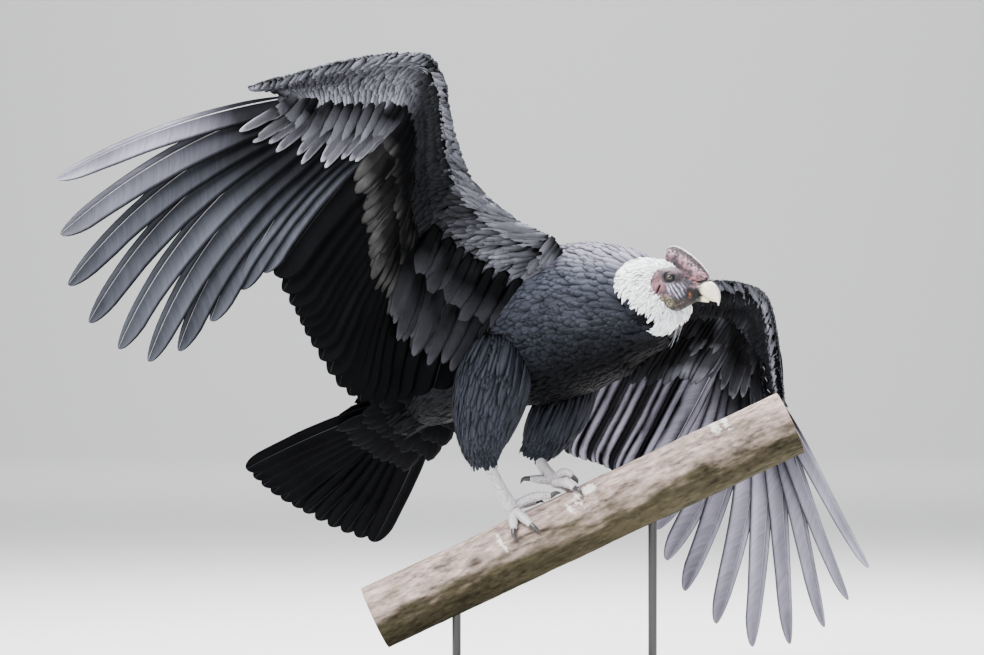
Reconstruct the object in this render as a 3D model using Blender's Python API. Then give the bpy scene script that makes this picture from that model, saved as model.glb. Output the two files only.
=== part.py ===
"""Andean condor, adult male, as a life-size still model: wings open, standing on a sloping cut branch.

Frame, in metres: the origin is the centre of the stand's underside, +Z is up, +X runs up the slope of
the branch and -Y is the side that the near (right) wing shows its underside to. The bird faces +X and
a little towards -Y. Its right wing is raised, and its left wing droops on the far side.
"""

import math
import random

import bmesh
import bpy
import numpy as np

# Driving sizes
GAP = 0.0003
# Gap between the head and the down round it, and between the feathers of the hand and the arm
HEAD_MARGIN = 0.0005
FEATHER_MARGIN = 0.0012
LEAF_THICKNESS = 0.0009
COVERT_THICKNESS = 0.0009
LOCK_THICKNESS = 0.0022
EYE_RADIUS = 0.0078
BRANCH_RADIUS = 0.067
BRANCH_LOW = (-0.316, 0.0, 0.158)
BRANCH_HIGH = (0.531, 0.0, 0.556)
BASE_SIZE = (0.62, 0.46, 0.024)
BASE_CORNER = 0.03
ROD_RADIUS = 0.009
ROD_PLACES = {"stand_rod_low": -0.15, "stand_rod_high": 0.25}
SEED = 7

# The torso from rump to crop: centre, half width, half height
TORSO = (
    ((-0.247, 0.146, 0.575), 0.042, 0.040),
    ((-0.205, 0.128, 0.606), 0.066, 0.066),
    ((-0.140, 0.098, 0.655), 0.094, 0.100),
    ((-0.061, 0.055, 0.704), 0.118, 0.128),
    ((0.020, 0.014, 0.742), 0.132, 0.150),
    ((0.095, -0.024, 0.770), 0.136, 0.153),
    ((0.160, -0.062, 0.782), 0.126, 0.140),
    ((0.222, -0.097, 0.781), 0.102, 0.116),
    ((0.268, -0.120, 0.768), 0.060, 0.070),
    ((0.296, -0.134, 0.762), 0.030, 0.036),
)
TORSO_SIDES = 20

# The two wings, each as chordwise sections: feather number, leading edge, root of the flight feather,
# its tip. Numbers 0 to 9 are primaries 10 to 1, 10 to 24 secondaries, and those from 25 tertials.
WING_RIGHT = (
    (0, (-0.533, -0.318, 1.224), (-0.456, -0.304, 1.198), (-0.914, -0.406, 1.037)),
    (2, (-0.453, -0.301, 1.247), (-0.410, -0.295, 1.187), (-0.892, -0.413, 0.832)),
    (5, (-0.356, -0.279, 1.272), (-0.342, -0.282, 1.172), (-0.741, -0.389, 0.685)),
    (9, (-0.211, -0.249, 1.284), (-0.258, -0.265, 1.165), (-0.524, -0.335, 0.858)),
    (12, (-0.178, -0.244, 1.245), (-0.248, -0.258, 1.118), (-0.476, -0.318, 0.803)),
    (17, (-0.164, -0.240, 1.174), (-0.254, -0.245, 1.035), (-0.432, -0.290, 0.720)),
    (22, (-0.148, -0.225, 1.105), (-0.268, -0.220, 0.957), (-0.364, -0.250, 0.620)),
    (25, (-0.125, -0.190, 1.046), (-0.255, -0.170, 0.905), (-0.314, -0.180, 0.596)),
    (28, (-0.058, -0.150, 0.976), (-0.185, -0.110, 0.850), (-0.255, -0.110, 0.610)),
    (31, (0.039, -0.110, 0.925), (-0.075, -0.060, 0.800), (-0.150, -0.040, 0.640)),
)
WING_LEFT = (
    (0, (0.549, 0.360, 0.599), (0.522, 0.375, 0.603), (0.769, 0.700, 0.212)),
    (2, (0.543, 0.365, 0.654), (0.510, 0.380, 0.648), (0.662, 0.620, 0.085)),
    (4, (0.537, 0.370, 0.712), (0.495, 0.385, 0.691), (0.497, 0.550, 0.047)),
    (6, (0.528, 0.370, 0.766), (0.478, 0.385, 0.723), (0.346, 0.520, 0.172)),
    (9, (0.509, 0.370, 0.818), (0.452, 0.380, 0.750), (0.269, 0.515, 0.360)),
    (13, (0.453, 0.340, 0.843), (0.401, 0.360, 0.757), (0.228, 0.500, 0.405)),
    (18, (0.390, 0.290, 0.847), (0.324, 0.330, 0.760), (0.171, 0.475, 0.446)),
    (23, (0.327, 0.230, 0.845), (0.240, 0.285, 0.760), (0.101, 0.445, 0.471)),
    (27, (0.263, 0.170, 0.845), (0.165, 0.225, 0.763), (0.060, 0.400, 0.506)),
    (31, (0.188, 0.100, 0.849), (0.095, 0.150, 0.770), (0.014, 0.330, 0.552)),
)
# How the flight feathers arch, as shares of their length, and how far they roll in degrees
BOWS_RIGHT = {"primary": (0.05, 0.09), "secondary": 0.03, "droop": 0.02, "slant": 13}
BOWS_LEFT = {"primary": (0.06, 0.06), "secondary": 0.03, "droop": 0.09, "slant": 17}
UNDERSIDE_RIGHT = (0.20, -0.97, 0.05)
UNDERSIDE_LEFT = (0.55, -0.65, -0.45)


def unit(vector):
    """The vector at length one."""
    vector = np.asarray(vector, float)
    return vector / np.linalg.norm(vector)


def across(vector, axis):
    """The part of vector square to axis, at length one."""
    vector = np.asarray(vector, float)
    return unit(vector - (vector @ axis) * axis)


def spline(places, values, wanted):
    """Values at the wanted places, on a smooth curve through the given ones."""
    places = np.asarray(places, float)
    values = np.asarray(values, float)
    wanted = np.atleast_1d(np.asarray(wanted, float))
    slopes = np.gradient(values, places, axis=0)
    last = len(places) - 2
    part = np.clip(np.searchsorted(places, wanted, side="right") - 1, 0, last)
    step = places[part + 1] - places[part]
    t = ((wanted - places[part]) / step)[:, None]
    step = step[:, None]
    return (
        (2 * t**3 - 3 * t**2 + 1) * values[part]
        + (t**3 - 2 * t**2 + t) * step * slopes[part]
        + (3 * t**2 - 2 * t**3) * values[part + 1]
        + (t**3 - t**2) * step * slopes[part + 1]
    )


def through(points, count):
    """That many points on a smooth curve through the given ones."""
    points = np.asarray(points, float)
    places = np.linspace(0, 1, len(points))
    return spline(places, points, np.linspace(0, 1, count))


def skin_rings(rings):
    """A closed mesh over rings of equal count, with a pole at the middle of each end ring."""
    rings = np.asarray(rings, float)
    count, sides = rings.shape[:2]
    points = [*rings.reshape(-1, 3), rings[0].mean(0), rings[-1].mean(0)]
    faces = []
    for i in range(count - 1):
        for j in range(sides):
            a, b = i * sides + j, i * sides + (j + 1) % sides
            faces += [(a, b, b + sides), (a, b + sides, a + sides)]
    first, last = count * sides, count * sides + 1
    for j in range(sides):
        k = (j + 1) % sides
        faces.append((first, k, j))
        faces.append((last, (count - 1) * sides + j, (count - 1) * sides + k))
    return np.array(points), faces


def tube(centres, half_widths, half_heights, side, sides=12, square=1.0):
    """A closed tube along centres, with elliptical rings whose width lies along side."""
    centres = np.asarray(centres, float)
    ways = np.gradient(centres, axis=0)
    angles = np.linspace(0, 2 * math.pi, sides, endpoint=False)
    wave_across = np.sign(np.cos(angles)) * abs(np.cos(angles)) ** square
    wave_up = np.sign(np.sin(angles)) * abs(np.sin(angles)) ** square
    rings = []
    for centre, way, width, height in zip(centres, ways, half_widths, half_heights):
        way = unit(way)
        right = across(side, way)
        up = np.cross(right, way)
        rings.append(
            centre + np.outer(wave_across * width, right) + np.outer(wave_up * height, up)
        )
    return skin_rings(rings)


def ball(centre, radii, axes=np.eye(3), rings=8, sides=12):
    """A closed ellipsoid with its radii along the three axes."""
    polar = np.linspace(0, math.pi, rings + 1)[1:-1]
    turn = np.linspace(0, 2 * math.pi, sides, endpoint=False)
    local = np.array(
        [
            [
                (math.sin(p) * math.cos(q), math.sin(p) * math.sin(q), math.cos(p))
                for q in turn
            ]
            for p in polar
        ]
    )
    points, faces = skin_rings(local)
    points[-2], points[-1] = (0, 0, 1), (0, 0, -1)
    points = np.asarray(centre) + (points * np.asarray(radii)) @ np.asarray(axes)
    return points, faces


# Share of a vane's full half width along its length, on the leading and the trailing side
VANE_SHAPES = {
    "primary": (
        (0.0, 0.22, 0.24),
        (0.22, 0.85, 0.90),
        (0.58, 1.00, 0.96),
        (0.88, 0.74, 0.66),
        (1.0, 0.22, 0.16),
    ),
    "secondary": (
        (0.0, 0.22, 0.24),
        (0.35, 0.95, 0.95),
        (0.85, 0.90, 0.92),
        (1.0, 0.36, 0.36),
    ),
    "covert": (
        (0.0, 0.40, 0.40),
        (0.70, 1.00, 1.00),
        (1.0, 0.36, 0.36),
    ),
    "lock": (
        (0.0, 0.45, 0.45),
        (0.55, 1.00, 1.00),
        (1.0, 0.16, 0.16),
    ),
}


def vane(root, tip, lead, top, widths, shape, thickness, bow=(0.0, 0.0), roll=0.0):
    """One feather or lock as a thin closed blade from root to tip.

    lead is the side of its leading vane and top the side of its upper face, each as one way or as a pair
    of ways, at the root and at the tip, between which the blade twists. widths are the two half widths,
    bow the arch towards lead and top as shares of the length, and roll lifts the leading edge towards
    top. A lock has one ridge along its upper face, and a feather is flat on both.
    """
    root, tip = np.asarray(root, float), np.asarray(tip, float)
    leads = np.broadcast_to(np.asarray(lead, float), (2, 3))
    tops = np.broadcast_to(np.asarray(top, float), (2, 3))
    length = np.linalg.norm(tip - root)
    way = unit(tip - root)
    rows = []
    for t, share_lead, share_trail in VANE_SHAPES[shape]:
        side = across((1 - t) * unit(leads[0]) + t * unit(leads[1]), way)
        up = np.cross(way, side)
        up = up if up @ ((1 - t) * tops[0] + t * tops[1]) > 0 else -up
        wide = math.cos(roll) * side + math.sin(roll) * up
        flat = math.cos(roll) * up - math.sin(roll) * side
        arch = 4 * t * (1 - t) * length
        middle = root + way * length * t + arch * (bow[0] * side + bow[1] * up)
        left = middle + wide * widths[0] * share_lead
        right = middle - wide * widths[1] * share_trail
        half = flat * thickness / 2 * (1.0 if t < 1 else 0.6)
        if shape == "lock":
            rows.append([left - half, right - half, middle + half])
        else:
            rows.append([left + half, left - half, right - half, right + half])
    return blade_mesh(rows)


def blade_mesh(rows):
    """Triangles over the rows of a blade, cut alike on both faces so that a curved one can't cross itself."""
    rows = np.asarray(rows, float)
    count, corners = rows.shape[:2]
    faces = []
    for i in range(count - 1):
        a, b = i * corners, (i + 1) * corners
        if corners == 3:
            quads = ((0, 1, 0), (1, 2, 1), (2, 0, 0))
        else:
            quads = ((0, 1, 0), (1, 2, 1), (2, 3, 0), (3, 0, 0))
        for p, q, low in quads:
            if low:
                faces += [(a + p, a + q, b + p), (a + q, b + q, b + p)]
            else:
                faces += [(a + p, a + q, b + q), (a + p, b + q, b + p)]
    last = (count - 1) * corners
    fan = range(1, corners - 1)
    faces += [(0, j + 1, j) for j in fan]
    faces += [(last, last + j, last + j + 1) for j in fan]
    return rows.reshape(-1, 3), faces


# Head axes: forwards along the bill, the bird's left, and up through the crown
HEAD_PLACE = np.array((0.284, -0.215, 0.834))
HEAD_FORWARD = unit((0.886, -0.413, -0.208))
HEAD_LEFT = unit(np.cross((0.0, 0.0, 1.0), HEAD_FORWARD))
HEAD_UP = np.cross(HEAD_FORWARD, HEAD_LEFT)
HEAD_AXES = np.array((HEAD_FORWARD, HEAD_LEFT, HEAD_UP))

# Sections in the head's own axes: foot (x, z), top (x, z) and half width
SKULL = (
    ((-0.055, -0.036), (-0.055, 0.026), 0.026),
    ((-0.044, -0.045), (-0.044, 0.036), 0.035),
    ((-0.028, -0.049), (-0.028, 0.041), 0.0365),
    ((-0.010, -0.051), (-0.010, 0.039), 0.035),
    ((0.008, -0.052), (0.010, 0.031), 0.031),
    ((0.022, -0.048), (0.026, 0.023), 0.026),
    ((0.036, -0.035), (0.040, 0.019), 0.0205),
    ((0.050, -0.024), (0.052, 0.0155), 0.0155),
    ((0.058, -0.020), (0.058, 0.0135), 0.013),
)
COMB = (
    ((-0.030, 0.054), (-0.031, 0.064), 0.0030),
    ((-0.026, 0.042), (-0.025, 0.073), 0.0068),
    ((-0.012, 0.033), (-0.008, 0.076), 0.0080),
    ((0.006, 0.025), (0.014, 0.069), 0.0082),
    ((0.024, 0.016), (0.034, 0.060), 0.0078),
    ((0.040, 0.015), (0.051, 0.0495), 0.0070),
    ((0.054, 0.018), (0.063, 0.0390), 0.0058),
    ((0.065, 0.022), (0.069, 0.0300), 0.0030),
)
BILL_UPPER = (
    ((0.050, -0.0050), (0.050, 0.0120), 0.0125),
    ((0.058, -0.0065), (0.057, 0.0150), 0.0135),
    ((0.066, -0.0085), (0.065, 0.0200), 0.0135),
    ((0.074, -0.0115), (0.074, 0.0220), 0.0125),
    ((0.081, -0.0145), (0.085, 0.0175), 0.0100),
    ((0.088, -0.0150), (0.093, 0.0095), 0.0075),
    ((0.0935, -0.0150), (0.0985, 0.0000), 0.0050),
    ((0.0965, -0.0175), (0.1000, -0.0090), 0.0030),
    ((0.0982, -0.0215), (0.0995, -0.0190), 0.0010),
)
BILL_LOWER = (
    ((0.046, -0.0220), (0.046, -0.0060), 0.0115),
    ((0.058, -0.0210), (0.058, -0.0068), 0.0100),
    ((0.069, -0.0200), (0.069, -0.0098), 0.0076),
    ((0.077, -0.0190), (0.077, -0.0135), 0.0040),
)
# Folds of bare skin along each side of the head, as points (x, z) in its own axes
FOLDS = (
    ((0.010, 0.001), (0.018, -0.0065), (0.025, -0.0145), (0.030, -0.022)),
    ((0.000, -0.005), (0.006, -0.013), (0.012, -0.021), (0.017, -0.028)),
    ((-0.026, -0.030), (-0.010, -0.0395), (0.008, -0.044), (0.024, -0.039)),
)
FOLD_RADIUS = 0.0028
DEWLAP = ((0.016, 0.0, -0.050), (0.020, 0.0048, 0.011))
EYE_PLACE = (-0.0035, 0.0145)
EYE_SINK = 0.0042
LID_RADIUS = 0.0024
LID_SINK = 0.0006
LID_TURN = 0.25
LID_STRETCH = 0.9
EAR_PLACE = (-0.0190, -0.0135)
EAR_SIZE = (0.0026, 0.006, 0.0068)
EAR_RING = (0.0088, 0.0020)
EAR_STRETCH = 1.15
NOSTRIL_PLACE = (0.0300, 0.0135)
NOSTRIL_SIZE = (0.0050, 0.010, 0.0019)
MOUTH_CORNER = (0.033, -0.0030)
MOUTH_FRONT = (0.068, -0.0075)
MOUTH_SLIT = 0.0014

# The ruff stands round the neck behind the head
RUFF_PLACE = np.array((0.249, -0.167, 0.821))
RUFF_AXIS = unit((0.60, -0.50, 0.60))
RUFF_DEPTH = 0.020
RUFF_ROWS = ((-38, 14), (34, 14))
LOCK_WIDTH = 0.0200
LOCK_SINK = 0.008
# The neck's root in the crop, then its stations along the ruff's axis with their radii
NECK_ROOT = ((0.190, -0.090, 0.785), 0.058)
NECK_STATIONS = ((-0.036, 0.054), (-0.020, 0.064), (-0.004, 0.073), (0.012, 0.069), (0.026, 0.050))

# Tail feathers fan out from the rump
TAIL_PLACE = np.array((-0.219, 0.135, 0.591))
TAIL_WAY = unit((-0.666, 0.478, -0.573))
TAIL_LEFT = unit((0.743, 0.480, -0.467))
TAIL_LENGTH = 0.405
TAIL_SPREAD = math.radians(22)
TAIL_FEATHERS = 12
TAIL_WIDTHS = (0.024, 0.030)

# Legs: centre and radius down each thigh, then the shank
THIGH_RIGHT = (
    ((-0.050, -0.030, 0.700), 0.078),
    ((-0.070, -0.062, 0.650), 0.082),
    ((-0.090, -0.075, 0.583), 0.066),
    ((-0.098, -0.070, 0.520), 0.044),
    ((-0.094, -0.066, 0.480), 0.024),
)
THIGH_LEFT = (
    ((0.070, 0.040, 0.690), 0.072),
    ((0.075, 0.052, 0.640), 0.074),
    ((0.054, 0.052, 0.575), 0.060),
    ((0.024, 0.055, 0.520), 0.040),
    ((0.006, 0.055, 0.492), 0.024),
)
SHANK_RIGHT = ((-0.094, -0.066, 0.490), (-0.064, -0.050, 0.430), (-0.040, -0.035, 0.386))
SHANK_LEFT = ((0.006, 0.055, 0.505), (0.025, 0.036, 0.468), (0.047, 0.020, 0.437))
SHANK_RADIUS = 0.0125
THIGH_ROWS = ((0.36, 6), (0.68, 6))
THIGH_LOCK_LENGTH = 0.075

# Toes and claws as (distance up the branch, degrees from its top towards -Y, height above its bark)
TOES_RIGHT = {
    "middle": ((0.350, 18, 0.022), (0.382, 15, 0.024), (0.412, 14, 0.018), (0.430, 14, 0.0085)),
    "inner": ((0.352, 12, 0.019), (0.376, -2, 0.014), (0.396, -12, 0.0085)),
    "outer": ((0.352, 26, 0.018), (0.361, 42, 0.012), (0.369, 58, 0.0080)),
    "hind": ((0.350, 26, 0.018), (0.339, 40, 0.012), (0.334, 52, 0.0080)),
}
CLAWS_RIGHT = {
    "middle": ((0.428, 14, 0.0085), (0.442, 14, 0.0095), (0.452, 14, 0.0045)),
    "inner": ((0.394, -11, 0.0085), (0.405, -18, 0.0085), (0.412, -24, 0.0035)),
    "outer": ((0.368, 56, 0.0080), (0.375, 68, 0.0080), (0.379, 78, 0.0035)),
    "hind": ((0.334, 51, 0.0080), (0.329, 62, 0.0080), (0.331, 73, 0.0035)),
}
TOES_LEFT = {
    "middle": ((0.448, -11, 0.030), (0.464, -7, 0.037), (0.479, -3, 0.034), (0.487, 0, 0.021)),
    "inner": ((0.448, -14, 0.028), (0.466, -30, 0.018), (0.484, -44, 0.0085)),
    "outer": ((0.450, -6, 0.026), (0.470, 11, 0.018), (0.481, 26, 0.0085)),
    "hind": ((0.450, -12, 0.030), (0.425, -8, 0.045), (0.405, -5, 0.056)),
}
CLAWS_LEFT = {
    "middle": ((0.4865, 0, 0.023), (0.491, 3, 0.012), (0.490, 5, 0.0045)),
    "inner": ((0.483, -43, 0.0085), (0.494, -50, 0.0085), (0.500, -58, 0.0035)),
    "outer": ((0.480, 25, 0.0085), (0.487, 36, 0.0085), (0.490, 46, 0.0035)),
    "hind": ((0.407, -5, 0.055), (0.394, -3, 0.060), (0.384, -2, 0.054)),
}
TOE_RADIUS = 0.0092
CLAW_RADIUS = 0.0048

# Rows of coverts on each face of a wing: count, first and last feather number, root and length along
# the chord, half width, and how far the tip stands off the flight feathers
HAND_COVERTS = {
    "under greater": (-1, 7, 0.6, 9.0, 0.80, 0.165, 0.0165, 0.0160),
    "upper greater": (1, 5, 0.8, 9.0, 0.75, 0.170, 0.0210, 0.0160),
}
ARM_COVERTS = {
    "under greater": (-1, 9, 10.8, 29.5, 0.75, 0.165, 0.0260, 0.0170),
    "upper greater": (1, 8, 11.0, 29.5, 0.72, 0.175, 0.0280, 0.0180),
}
ALULA = (4.5, 6.5)
HAND_RINGS = (-0.5, 0.5, 2.0, 4.0, 6.5, 9.45)
ARM_RINGS = (9.55, 12.0, 17.0, 22.0, 26.5, 31.0)
PRIMARIES = 10
SECONDARIES = 13
TERTIALS = 4
LAST_NUMBER = 31
# The arch of a covert as a share of its length, its roll in degrees, and how far up the core it starts
COVERT_BOW = 0.05
COVERT_ROLL = 14
COVERT_RISE = 0.7
# Chord place from which neighbouring feathers lie side by side
FAN_START = 1.3
# Where the arm's core ends inside the torso: its leading edge and its trailing edge
SHOULDER_RIGHT = ((0.085, -0.060, 0.860), (-0.010, -0.030, 0.760))
SHOULDER_LEFT = ((0.140, 0.030, 0.835), (0.050, 0.060, 0.745))

COLOURS = {
    "plumage": ((0.030, 0.031, 0.040), 0.55),
    "ruff": ((0.86, 0.85, 0.82), 0.85),
    "skin": ((0.36, 0.26, 0.24), 0.50),
    "comb": ((0.30, 0.21, 0.20), 0.50),
    "bill": ((0.80, 0.76, 0.62), 0.35),
    "eye": ((0.20, 0.15, 0.06), 0.10),
    "foot": ((0.66, 0.63, 0.60), 0.60),
    "claw": ((0.12, 0.10, 0.09), 0.40),
    "bark": ((0.40, 0.31, 0.25), 0.85),
    "stand": ((0.05, 0.05, 0.05), 0.45),
}


def clear_scene():
    """Remove every object that the scene starts with."""
    for obj in list(bpy.data.objects):
        bpy.data.objects.remove(obj, do_unlink=True)


def material(name):
    """The Principled material of that name, made on its first use."""
    found = bpy.data.materials.get(name)
    if found:
        return found
    colour, roughness = COLOURS[name]
    made = bpy.data.materials.new(name)
    made.use_nodes = True
    shader = made.node_tree.nodes["Principled BSDF"]
    shader.inputs["Base Color"].default_value = (*colour, 1.0)
    shader.inputs["Roughness"].default_value = roughness
    shader.inputs["Metallic"].default_value = 0.0
    return made


def mesh_object(name, piece, collection=None):
    """An object from points and faces, with its faces turned outwards."""
    points, faces = piece
    mesh = bpy.data.meshes.new(name)
    mesh.from_pydata([tuple(map(float, p)) for p in points], [], [tuple(map(int, f)) for f in faces])
    shell = bmesh.new()
    shell.from_mesh(mesh)
    bmesh.ops.recalc_face_normals(shell, faces=shell.faces)
    shell.to_mesh(mesh)
    shell.free()
    obj = bpy.data.objects.new(name, mesh)
    (collection or bpy.context.scene.collection).objects.link(obj)
    return obj


def bake(obj):
    """Apply an object's modifiers to its mesh."""
    bpy.context.view_layer.update()
    graph = bpy.context.evaluated_depsgraph_get()
    mesh = bpy.data.meshes.new_from_object(obj.evaluated_get(graph))
    obj.modifiers.clear()
    old, obj.data = obj.data, mesh
    bpy.data.meshes.remove(old)


def drop(obj):
    """Remove a helper object and its mesh."""
    mesh = obj.data
    bpy.data.objects.remove(obj, do_unlink=True)
    bpy.data.meshes.remove(mesh)


def keep_largest(obj):
    """Keep only the closed surface that holds the most, which fills sealed hollows and drops scraps."""
    shell = bmesh.new()
    shell.from_mesh(obj.data)
    unseen = set(shell.faces)
    islands = []
    while unseen:
        seed = unseen.pop()
        island, edge = [seed], [seed]
        while edge:
            for line in edge.pop().edges:
                for face in line.link_faces:
                    if face in unseen:
                        unseen.remove(face)
                        island.append(face)
                        edge.append(face)
        islands.append(island)
    if len(islands) > 1:
        islands.sort(key=held_volume)
        for island in islands[:-1]:
            bmesh.ops.delete(shell, geom=island, context="FACES")
    bmesh.ops.triangulate(shell, faces=shell.faces)
    shell.to_mesh(obj.data)
    shell.free()


def held_volume(faces):
    """The volume inside a closed set of faces."""
    total = 0.0
    for face in faces:
        corners = [vertex.co for vertex in face.verts]
        for a, b in zip(corners[1:], corners[2:]):
            total += corners[0].dot(a.cross(b)) / 6
    return abs(total)


def node(name, pieces, colour, solver="EXACT"):
    """One closed body that joins the pieces, the first of which carries the others."""
    body = mesh_object(name, pieces[0])
    if len(pieces) > 1:
        extras = bpy.data.collections.new(name + " pieces")
        bpy.context.scene.collection.children.link(extras)
        for piece in pieces[1:]:
            helper = mesh_object(name + " piece", piece, extras)
            helper.hide_render = True
            helper.display_type = "WIRE"
        join = body.modifiers.new("join", "BOOLEAN")
        join.operation = "UNION"
        join.operand_type = "COLLECTION"
        join.collection = extras
        join.solver = solver
        bake(body)
        for helper in list(extras.objects):
            drop(helper)
        bpy.data.collections.remove(extras)
    keep_largest(body)
    body.data.materials.clear()
    body.data.materials.append(material(colour))
    body.data.shade_smooth()
    return body


def cut(body, cutter):
    """Take the cutter away from the body, and remove the cutter."""
    cutter.hide_render = True
    cutter.display_type = "WIRE"
    trim = body.modifiers.new("trim", "BOOLEAN")
    trim.operation = "DIFFERENCE"
    trim.object = cutter
    trim.solver = "MANIFOLD"
    bake(body)
    drop(cutter)
    keep_largest(body)
    body.data.shade_smooth()


def boxes_meet(first, second):
    """Whether the boxes round two objects come within the gap of each other."""
    a = np.array([vertex.co for vertex in first.data.vertices])
    b = np.array([vertex.co for vertex in second.data.vertices])
    return bool((a.min(0) - GAP < b.max(0)).all() and (b.min(0) - GAP < a.max(0)).all())


def grown(obj, margin=GAP):
    """A copy of an object, swollen by the gap that touching pieces keep."""
    copy = bpy.data.objects.new(obj.name + " grown", obj.data.copy())
    bpy.context.scene.collection.objects.link(copy)
    mesh = copy.data
    for vertex, normal in zip(mesh.vertices, [n.vector.copy() for n in mesh.vertex_normals]):
        vertex.co = vertex.co + normal * margin
    return copy


def clear_of(body, *others, margin=GAP):
    """Cut a body clear of the others, which keep their own shape."""
    for other in others:
        if boxes_meet(body, other):
            cut(body, grown(other, margin))


def head_point(x, y, z):
    """A point in the head's own axes, as a place in the frame."""
    return HEAD_PLACE + x * HEAD_FORWARD + y * HEAD_LEFT + z * HEAD_UP


def head_loft(sections, sides=12, swell=0.0):
    """A closed form through upright elliptical sections of the head, swollen all round where asked."""
    turn = np.linspace(0, 2 * math.pi, sides, endpoint=False)
    rings = []
    for foot, top, half in sections:
        foot, top = head_point(foot[0], 0, foot[1]), head_point(top[0], 0, top[1])
        middle, rise = (foot + top) / 2, (top - foot) / 2
        rise = rise + unit(rise) * swell
        wide = np.outer(np.cos(turn) * (half + swell), HEAD_LEFT)
        rings.append(middle + wide + np.outer(np.sin(turn), rise))
    rings[0] = rings[0] - HEAD_FORWARD * swell
    rings[-1] = rings[-1] + HEAD_FORWARD * swell
    return skin_rings(rings)


def skull_side(x, z):
    """The skull's half width at a place (x, z) of its own axes."""
    places = [(s[0][0] + s[1][0]) / 2 for s in SKULL]
    foot = np.interp(x, places, [s[0][1] for s in SKULL])
    top = np.interp(x, places, [s[1][1] for s in SKULL])
    half = np.interp(x, places, [s[2] for s in SKULL])
    share = (z - (foot + top) / 2) / ((top - foot) / 2)
    return half * math.sqrt(max(0.0, 1 - share**2))


def side_place(place, side, sink=0.0):
    """The point of the skull's surface at (x, z) on one side, sunk by some depth."""
    x, z = place
    return head_point(x, side * (skull_side(x, z) - sink), z)


def hoop(centre, axis, radius, thickness, stretch=1.0, sides=8, around=3):
    """A ring round a centre, square to axis, drawn out along the head's up axis by stretch."""
    axis = unit(axis)
    up = across(HEAD_UP, axis)
    out = np.cross(axis, up)
    points, faces = [], []
    for i in range(sides):
        turn = 2 * math.pi * i / sides
        way = math.cos(turn) * out + math.sin(turn) * up * stretch
        for j in range(around):
            roll = 2 * math.pi * j / around
            points.append(
                centre + way * (radius + thickness * math.cos(roll)) + axis * thickness * math.sin(roll)
            )
    for i in range(sides):
        for j in range(around):
            a, b = i * around + j, i * around + (j + 1) % around
            c, d = (i + 1) % sides * around + j, (i + 1) % sides * around + (j + 1) % around
            faces += [(a, b, d), (a, d, c)]
    return np.array(points), faces


def fold(line, side, swell=0.0):
    """One soft fold of skin along a line of points (x, z) on one side of the skull."""
    path = through([side_place(point, side, 0.0008) for point in line], 4)
    radii = FOLD_RADIUS * np.array((0.4, 1.0, 1.0, 0.4)) + swell
    return tube(path, radii, radii, HEAD_UP, sides=4)


def head_box(corner, front, height, half_width):
    """A flat slab between two places (x, z) of the head's middle plane."""
    corner, front = np.array(corner), np.array(front)
    across_line = np.array((corner[1] - front[1], front[0] - corner[0]))
    rise = across_line / np.linalg.norm(across_line) * height / 2
    rings = []
    for place in (corner, front):
        low, high = place - rise, place + rise
        rings.append(
            [
                head_point(low[0], half_width, low[1]),
                head_point(low[0], -half_width, low[1]),
                head_point(high[0], -half_width, high[1]),
                head_point(high[0], half_width, high[1]),
            ]
        )
    return skin_rings(rings)


def build_torso():
    """The body from the rump to the crop."""
    centres = [section[0] for section in TORSO]
    widths = [section[1] for section in TORSO]
    heights = [section[2] for section in TORSO]
    count = 13
    shell = tube(
        through(centres, count),
        through(np.array(widths)[:, None], count)[:, 0],
        through(np.array(heights)[:, None], count)[:, 0],
        (0.5, 0.85, 0.0),
        sides=TORSO_SIDES,
    )
    return node("torso", [shell], "plumage")


def build_neck():
    """The neck, swollen by the down under its ruff, and the ruff's soft locks that stand round it."""
    draw = random.Random(SEED)
    left = across((0.49, 0.87, 0.0), RUFF_AXIS)
    back = np.cross(RUFF_AXIS, left)
    centres = [NECK_ROOT[0]] + [RUFF_PLACE + RUFF_AXIS * place for place, _ in NECK_STATIONS]
    radii = [NECK_ROOT[1]] + [radius for _, radius in NECK_STATIONS]
    pieces = [tube(centres, radii, radii, left, sides=12)]
    places = [place for place, _ in NECK_STATIONS]
    for row, (tilt, count) in enumerate(RUFF_ROWS):
        tilt = math.radians(tilt)
        station = 0.018 * math.sin(tilt)
        girth = float(np.interp(station, places, radii[1:]))
        for i in range(count):
            turn = 2 * math.pi * (i + 0.5 * (row % 2) + draw.uniform(-0.1, 0.1)) / count
            out = math.cos(turn) * left + math.sin(turn) * back
            along = math.cos(turn) * back - math.sin(turn) * left
            normal = unit(math.cos(tilt) * out + math.sin(tilt) * RUFF_AXIS)
            start = RUFF_PLACE + RUFF_AXIS * station + out * (girth - LOCK_SINK)
            lean = unit(normal + along * draw.uniform(-0.05, 0.05) - RUFF_AXIS * 0.12)
            reach = RUFF_DEPTH + LOCK_SINK + draw.uniform(-0.002, 0.003)
            width = LOCK_WIDTH * draw.uniform(0.9, 1.1)
            face = np.cross(lean, along)
            pieces.append(
                vane(start, start + lean * reach, along, face, (width, width), "lock", LOCK_THICKNESS,
                     (0.0, draw.uniform(-0.05, 0.05)), math.radians(12))
            )
    return node("neck", pieces, "ruff", "MANIFOLD")


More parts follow.
